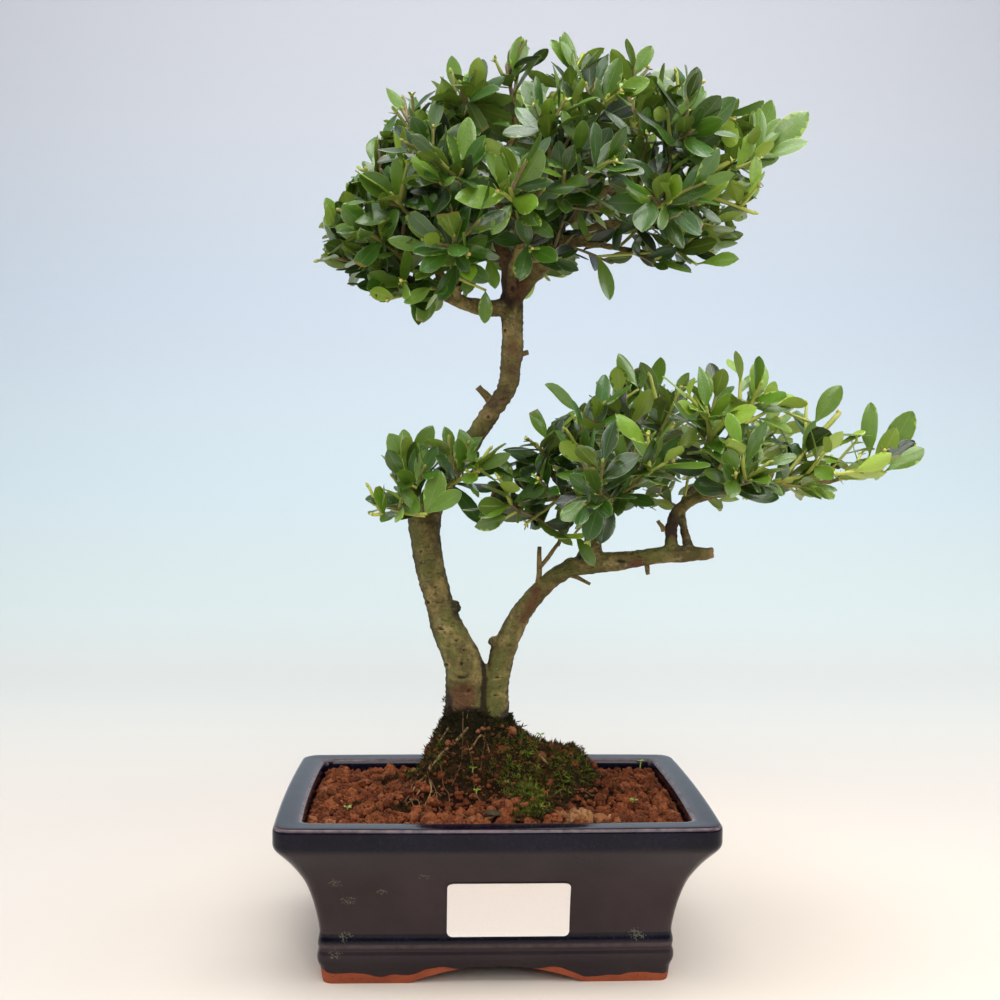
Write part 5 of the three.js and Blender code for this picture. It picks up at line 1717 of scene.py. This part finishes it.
def moss_cushion(shell):
    """A low lumpy cushion over the mossy parts of the mound. Elsewhere it sinks under the soil."""
    angles = np.arange(180) / 180 * 2 * math.pi
    rings = []
    for share in np.linspace(0, 1, 70):
        x = TRUNK_SPOT[0] + share * 8 + (7 + 53 * share) * np.cos(angles)
        y = TRUNK_SPOT[1] + (5 + 35 * share) * np.sin(angles)
        fade = min(1, (1 - share) * 8)
        rings.append(np.stack([x, y, moss_height(x, y) - 2 * (1 - fade)], -1))
    quads = ring_quads(len(rings), len(angles))[:, [0, 3, 2, 1]]
    shell.add(np.vstack(rings), quads, tint=(0.1, 0, 0, 0))


def moss_height(x, y):
    """Height of the moss, which dives under the soil where there is none."""
    flat = flat_points(x, y)
    cover = np.clip(moss_cover(x, y) * 1.6, -1, 1)
    lumps = 1.5 * lattice_noise(flat, 6.5, 70) + 0.8 * lattice_noise(flat, 2.6, 71)
    swell = 0.4 + 0.9 * cover + lumps * (0.4 + 0.6 * cover)
    return soil_height(x, y) + np.where(cover > 0, swell, -1.6)


def moss_normal(x, y):
    """The way the mound's surface faces."""
    slope_x = soil_height(x + 0.5, y) - soil_height(x - 0.5, y)
    slope_y = soil_height(x, y + 0.5) - soil_height(x, y - 0.5)
    return unit(np.array([-float(slope_x), -float(slope_y), 1]))


def add_moss_shoot(shell, rng, root, up, height, fresh):
    """A moss shoot: narrow pointed leaflets in a whorl that stand out and up round its stalk."""
    points, faces = [], []
    for i in range(5):
        turn = i * 2.4 + rng.uniform(0, 0.8)
        way = leaned(up, turn, rng.uniform(0.35, 1.2))
        foot = root + up * height * i * 0.13
        side = unit(np.cross(way, up) + 1e-6) * height * 0.12
        middle = foot + way * height * 0.45
        points += [foot, middle + side, foot + way * height, middle - side]
        faces.append([4 * i, 4 * i + 1, 4 * i + 2, 4 * i + 3])
    tint = np.clip([rng.normal(0.5, 0.3), fresh, 0, 0], 0, 1)
    shell.add(points, faces, tint=tint)


# Moss that climbs the two feet of the trunk: axis, radius, and how high it reaches on the left,
# right and front
CLIMBING_MOSS = [((-12.4, 0), 8.8, 109, 100, 100), ((-0.3, -0.5), 6.8, 101, 101, 98)]


def add_climbing_moss(shell, rng):
    for (at_x, at_y), radius, left, right, front in CLIMBING_MOSS:
        for _ in range(CLIMBING_SHOOTS):
            angle = rng.uniform(0, 2 * math.pi)
            out = np.array([math.cos(angle), math.sin(angle), 0])
            top = front + (left - front) * max(-out[0], 0) ** 1.5 + (right - front) * max(out[0], 0)
            z = rng.uniform(93, top + 1)
            spot = np.array([[angle * radius, z, at_x]])
            if lattice_noise(spot, 4, 77)[0] < -0.15 + 0.03 * (z - 97):
                continue
            root = np.array([at_x, at_y, z]) + out * (radius + 0.2)
            up = unit(out + 0.5 * UP + rng.normal(0, 0.3, 3))
            add_moss_shoot(shell, rng, root, up, rng.uniform(1.0, 2.1), rng.uniform(0, 0.45))


def make_moss(moss):
    """The cushion with its shoots, fresh green in the patches and brown elsewhere."""
    rng = np.random.default_rng(MOSS_SEED)
    shell = Shell()
    moss_cushion(shell)
    spots = rng.uniform((-62, -46), (66, 44), (MOSS_SHOOTS, 2))
    covers, heights = moss_cover(*spots.T), moss_height(*spots.T)
    for (x, y), cover, height in zip(spots, covers, heights):
        if from_trunk(x, y) < 8 or cover < 0.04 or not inside_wall(x, y, 1):
            continue
        up = unit(moss_normal(x, y) + 0.5 * UP + rng.normal(0, 0.35, 3))
        fresh = 0.3 * max(0, 0.5 + float(lattice_noise(np.array([[x, y, 0]]), 9, 81)[0]))
        for at_x, at_y, reach, gain in MOSS_PATCHES:
            near = math.exp(-((x - at_x) ** 2 + (y - at_y) ** 2) / reach ** 2)
            fresh = max(fresh, gain * 0.85 * near)
        root = np.array([x, y, height - 0.3])
        tall = rng.uniform(2.2, 3.6) if rng.random() < 0.08 else rng.uniform(0.9, 2.1)
        add_moss_shoot(shell, rng, root, up, tall, fresh * rng.uniform(0.3, 1.1))
    add_climbing_moss(shell, rng)
    return finish_piece(shell.build("moss_cushion", [moss]), "moss", slot="moss")


def moss_look():
    look = Look("moss")
    tone, fresh, _, _ = look.tint()
    dark = look.blend(tone, (24, 20, 8), (86, 66, 34))
    bright = look.blend(tone, (40, 62, 14), (140, 158, 56))
    base = look.coats(
        look.blend(look.ramp(fresh, 0.12, 0.75), dark, bright),
        (look.ramp(look.noise(0.3, 5, 0.7), 0.48, 0.66, 0, 0.65), (92, 54, 30)),
        (look.ramp(look.noise(1.1, 4, 0.6), 0.58, 0.7, 0, 0.5), (112, 74, 44)),
        (look.ramp(look.mm("Z"), 86, 100, 0, 0.75), look.blend(tone, (16, 18, 8), (46, 50, 22))),
    )
    look.set(Base_Color=base, Roughness=0.9, Specular_IOR_Level=0.12)
    look.set(Normal=look.bump(look.noise(1.6, 6, 0.7), 1.2))
    return look.material


# Loose things on the soil: place and size
PUMICE = [
    (26, -41, 2.1), (32, -38, 2.5), (37, -35.5, 3.1), (42.5, -36, 2.5), (47, -34, 1.6),
    (30, -42.5, 1.5),
]
CLODS = [
    (1, -31, 2.6), (5, -35, 3.0), (8, -33, 2.4), (11, -36, 2.2), (14, -33, 2.0), (3, -38, 2.2),
    (-22, -34, 2.7), (-16, -36, 2.4), (-11, -33, 2.9), (-2, -33, 2.5), (-28, -36, 2.8),
    (-8, -37.5, 2.3), (-35, -33, 2.6),
]
LUMPS = [
    (-5.4, -14, 1.5), (-7.8, -14.4, 1.3), (-3, -13.6, 1.2), (7.2, -9.5, 2.8), (-20.2, -12.4, 1.5),
]
DARK_LUMPS = [
    (24, -5, 2.6), (28, -6, 2.2), (20, -4, 2.1), (25, -9, 1.9), (17, -2, 2.0), (-13, -26, 1.8),
    (3, -22, 1.6),
]

# Roots that come out of the mound, each a line of x, y, lift over the soil and radius
SURFACE_ROOTS = [
    [
        (-12, -13, 0.3, 0.6), (-17.5, -13.6, 0.9, 0.65), (-21.7, -13.5, 1.2, 0.65),
        (-25.5, -13.2, 1.3, 0.6), (-30, -14, 1.2, 0.5), (-34, -16.5, 0.9, 0.4),
        (-37, -22, 0.4, 0.25),
    ],
    [(-24, -13, 1.0, 0.5), (-28, -13.4, 1.2, 0.45), (-30, -17, 1.0, 0.35), (-34, -23, 0.4, 0.2)],
    [(-25.3, -13, 1.0, 0.45), (-27.5, -15, 1.1, 0.4), (-27, -20, 0.8, 0.3), (-31, -26, 0.3, 0.2)],
    [(-20, -9, 0.6, 0.5), (-26, -9, 1.1, 0.4), (-32, -7, 0.9, 0.35), (-40, -9, 0.4, 0.2)],
    [(-14, -15, 0.8, 0.5), (-11, -17, 1.2, 0.45), (-6, -16, 1.3, 0.4), (-2, -18, 0.5, 0.25)],
    [(10, -8, 0.6, 0.6), (17, -9, 1.1, 0.5), (24, -13, 1.0, 0.4), (33, -12, 0.4, 0.25)],
    [(-8, -36, 0.9, 0.4), (-3, -38, 1.4, 0.4), (1, -37, 1.2, 0.35), (5, -41, 0.5, 0.25)],
    [
        (-5, 13, 0.6, 0.9), (2, 20, 1.2, 0.8), (5, 25, 1.0, 0.6), (12, 31, 0.6, 0.4),
        (13, 36, 0.2, 0.25),
    ],
    [(-22, 10, 0.6, 0.8), (-29, 13, 1.2, 0.6), (-34, 19, 0.9, 0.5), (-42, 20, 0.3, 0.3)],
]

# Seedlings: x, y and height
SEEDLINGS = [
    (59.4, -16, 3.6), (-10, -20, 2.2), (-8.4, -24, 2.4), (-63, -20, 2.2), (73, 50, 4.4),
    (20.5, 4, 5.5),
]


# The lumps in the order they are laid: spots, lift in sizes, tint and roughness
LUMP_KINDS = [
    (CLODS, 0.45, (0.9, 1, 0.25, 0), 0.35),
    (LUMPS, 0.5, (0.7, 0.4, 0.8, 0), 0.4),
    (DARK_LUMPS, 0.6, (0.15, 0.3, 0, 0), 0.5),
]


def on_soil(x, y, lift):
    return x, y, float(soil_height(x, y)) + lift


def make_litter(soil, bark, stone, leaf, stem):
    """Roots, clods, pumice, a dead leaf and seedlings on the soil's surface."""
    rng = np.random.default_rng(LITTER_SEED)
    shell = Shell()
    fine, coarse = ball(2), ball(1)
    for spots, lift, tint, roughness in LUMP_KINDS:
        for x, y, size in spots:
            add_stone(shell, rng, on_soil(x, y, size * lift), size, fine, tint, roughness=roughness)
    spots = rng.normal((0, -6), (22, 17), (CRUMBS, 2))
    levels = np.maximum(moss_height(*spots.T), soil_height(*spots.T) - 0.5)
    for (x, y), level in zip(spots, levels):
        if not inside_wall(x, y, 2) or from_trunk(x, y) < 15:
            continue
        size = rng.uniform(0.35, 1.15)
        tint = (0.8 * rng.random(), rng.random(), 0.3 * rng.random(), 0)
        add_stone(shell, rng, (x, y, level + size * 0.3), size, coarse, tint)
    for x, y, size in PUMICE:
        tint = (rng.random(), 0, 0, 0)
        spot = on_soil(x, y, size * 0.6)
        add_stone(shell, rng, spot, size, fine, tint, roughness=0.62, slot=LITTER_STONE)
    for index, root in enumerate(SURFACE_ROOTS):
        rows = []
        for x, y, lift, radius in root:
            x, y = x + rng.normal(0, 0.4), y + rng.normal(0, 0.4)
            rows.append([*on_soil(x, y, lift), radius * 1.1])
        line = smooth_line(rows, 0.9)
        add_twig(shell, line, 8, LITTER_BARK, (0, 0.5, 0, 0.7), gnarl=0.35, key=90 + index)
    add_fine_roots(shell, rng)
    for x, y, height in SEEDLINGS:
        foot = np.array(on_soil(x, y, 0))
        tip = foot + np.array([0.3, -0.3, height])
        line = [[*(foot + (tip - foot) * s), 0.28] for s in np.linspace(0, 1, 5)]
        add_twig(shell, line, 6, LITTER_STEM, (0.9, 0.8, 0, 0), gnarl=0.1)
        add_seedling_leaves(shell, rng, tip)
    add_dead_leaf(shell, rng)
    piece = shell.build("surface_litter", [soil, bark, stone, leaf, stem])
    return finish_piece(piece, slot="soil")


def add_fine_roots(shell, rng):
    """Thin dead rootlets that curl over the soil round the mound."""
    for number in range(ROOTLETS):
        x, y = rng.uniform(-42, 40), rng.uniform(-34, 30)
        turn = rng.uniform(0, 2 * math.pi)
        rows = []
        for _ in range(6):
            rows.append([*on_soil(x, y, rng.uniform(0.9, 2.0)), rng.uniform(0.16, 0.26)])
            turn += rng.normal(0, 0.6)
            x, y = x + 2.6 * math.cos(turn), y + 2.6 * math.sin(turn)
        line = smooth_line(rows, 1.2)
        add_twig(shell, line, 5, LITTER_BARK, (0, 0.9, 0.2, 0.3), gnarl=0.2, key=number)


def add_seedling_leaves(shell, rng, tip):
    turn = rng.uniform(0, 3)
    for i in range(3):
        along = leaned(np.array([0.05, 0, 1.0]), turn + i * 2.2, 1.25)
        up = square_to(UP, along)
        length, width = rng.uniform(1.9, 2.6), rng.uniform(1.5, 2.1)
        add_leaf(shell, rng, tip, along, up, length, width, 0.1, 0.8, 0.5)
    leaf_slot(shell, LITTER_LEAF, 6)


def leaf_slot(shell, slot, groups):
    """Moves the last added groups of faces to another material slot. A leaf has two groups."""
    for index in range(len(shell.slots) - groups, len(shell.slots)):
        shell.slots[index] = np.full(len(shell.slots[index]), slot)


def add_dead_leaf(shell, rng):
    root = np.array(on_soil(-6.5, -38, 4.4))
    along = unit(np.array([1, -0.1, 0.3]))
    up = leaf_up(np.array([0, -0.5, 1.0]), along)
    add_leaf(shell, rng, root, along, up, 9, 5, 0.3, 0.0, 0.0)
    leaf_slot(shell, LITTER_BARK, 2)


def stone_look():
    look = Look("pumice")
    tone, _, _, _ = look.tint()
    pores = look.ramp(look.cells(0.9), 0.0, 0.35, 1, 0)
    base = look.coats(
        look.blend(tone, (168, 112, 62), (200, 146, 90)),
        (look.ramp(look.noise(0.7, 6, 0.75), 0.46, 0.6, 0, 0.85), (116, 64, 34)),
        (look.calc("MULTIPLY", pores, 0.6), (120, 72, 42)),
    )
    look.set(Base_Color=base, Roughness=0.92, Normal=look.bump(look.noise(0.8, 6, 0.75), 2.0))
    return look.material


def screen_look():
    look = Look("screen")
    grain = look.noise(1.5, 4, 0.6)
    look.set(Base_Color=look.blend(grain, (30, 32, 35), (44, 46, 50)))
    look.set(Roughness=look.ramp(grain, 0.3, 0.7, 0.45, 0.65), Normal=look.bump(grain, 0.05))
    return look.material


def main():
    bpy.context.scene.view_settings.view_transform = "Standard"
    make_camera()
    make_stage()
    make_light()
    bark, leaf, stem, soil = bark_look(), leaf_look(), stem_look(), soil_look()
    screen = screen_look()
    branches = [Branch(row) for row in SPRAYS]
    make_pot(glaze_look())
    make_label(paper_look())
    make_wood(bark, branches)
    make_sprays(leaf, stem, branches)
    make_soil(soil)
    make_moss(moss_look())
    make_litter(soil, bark, stone_look(), leaf, stem)
    for side in ("left", "right"):
        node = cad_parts["drain_screen_" + side]
        node.data.materials.clear()
        node.data.materials.append(screen)


main()
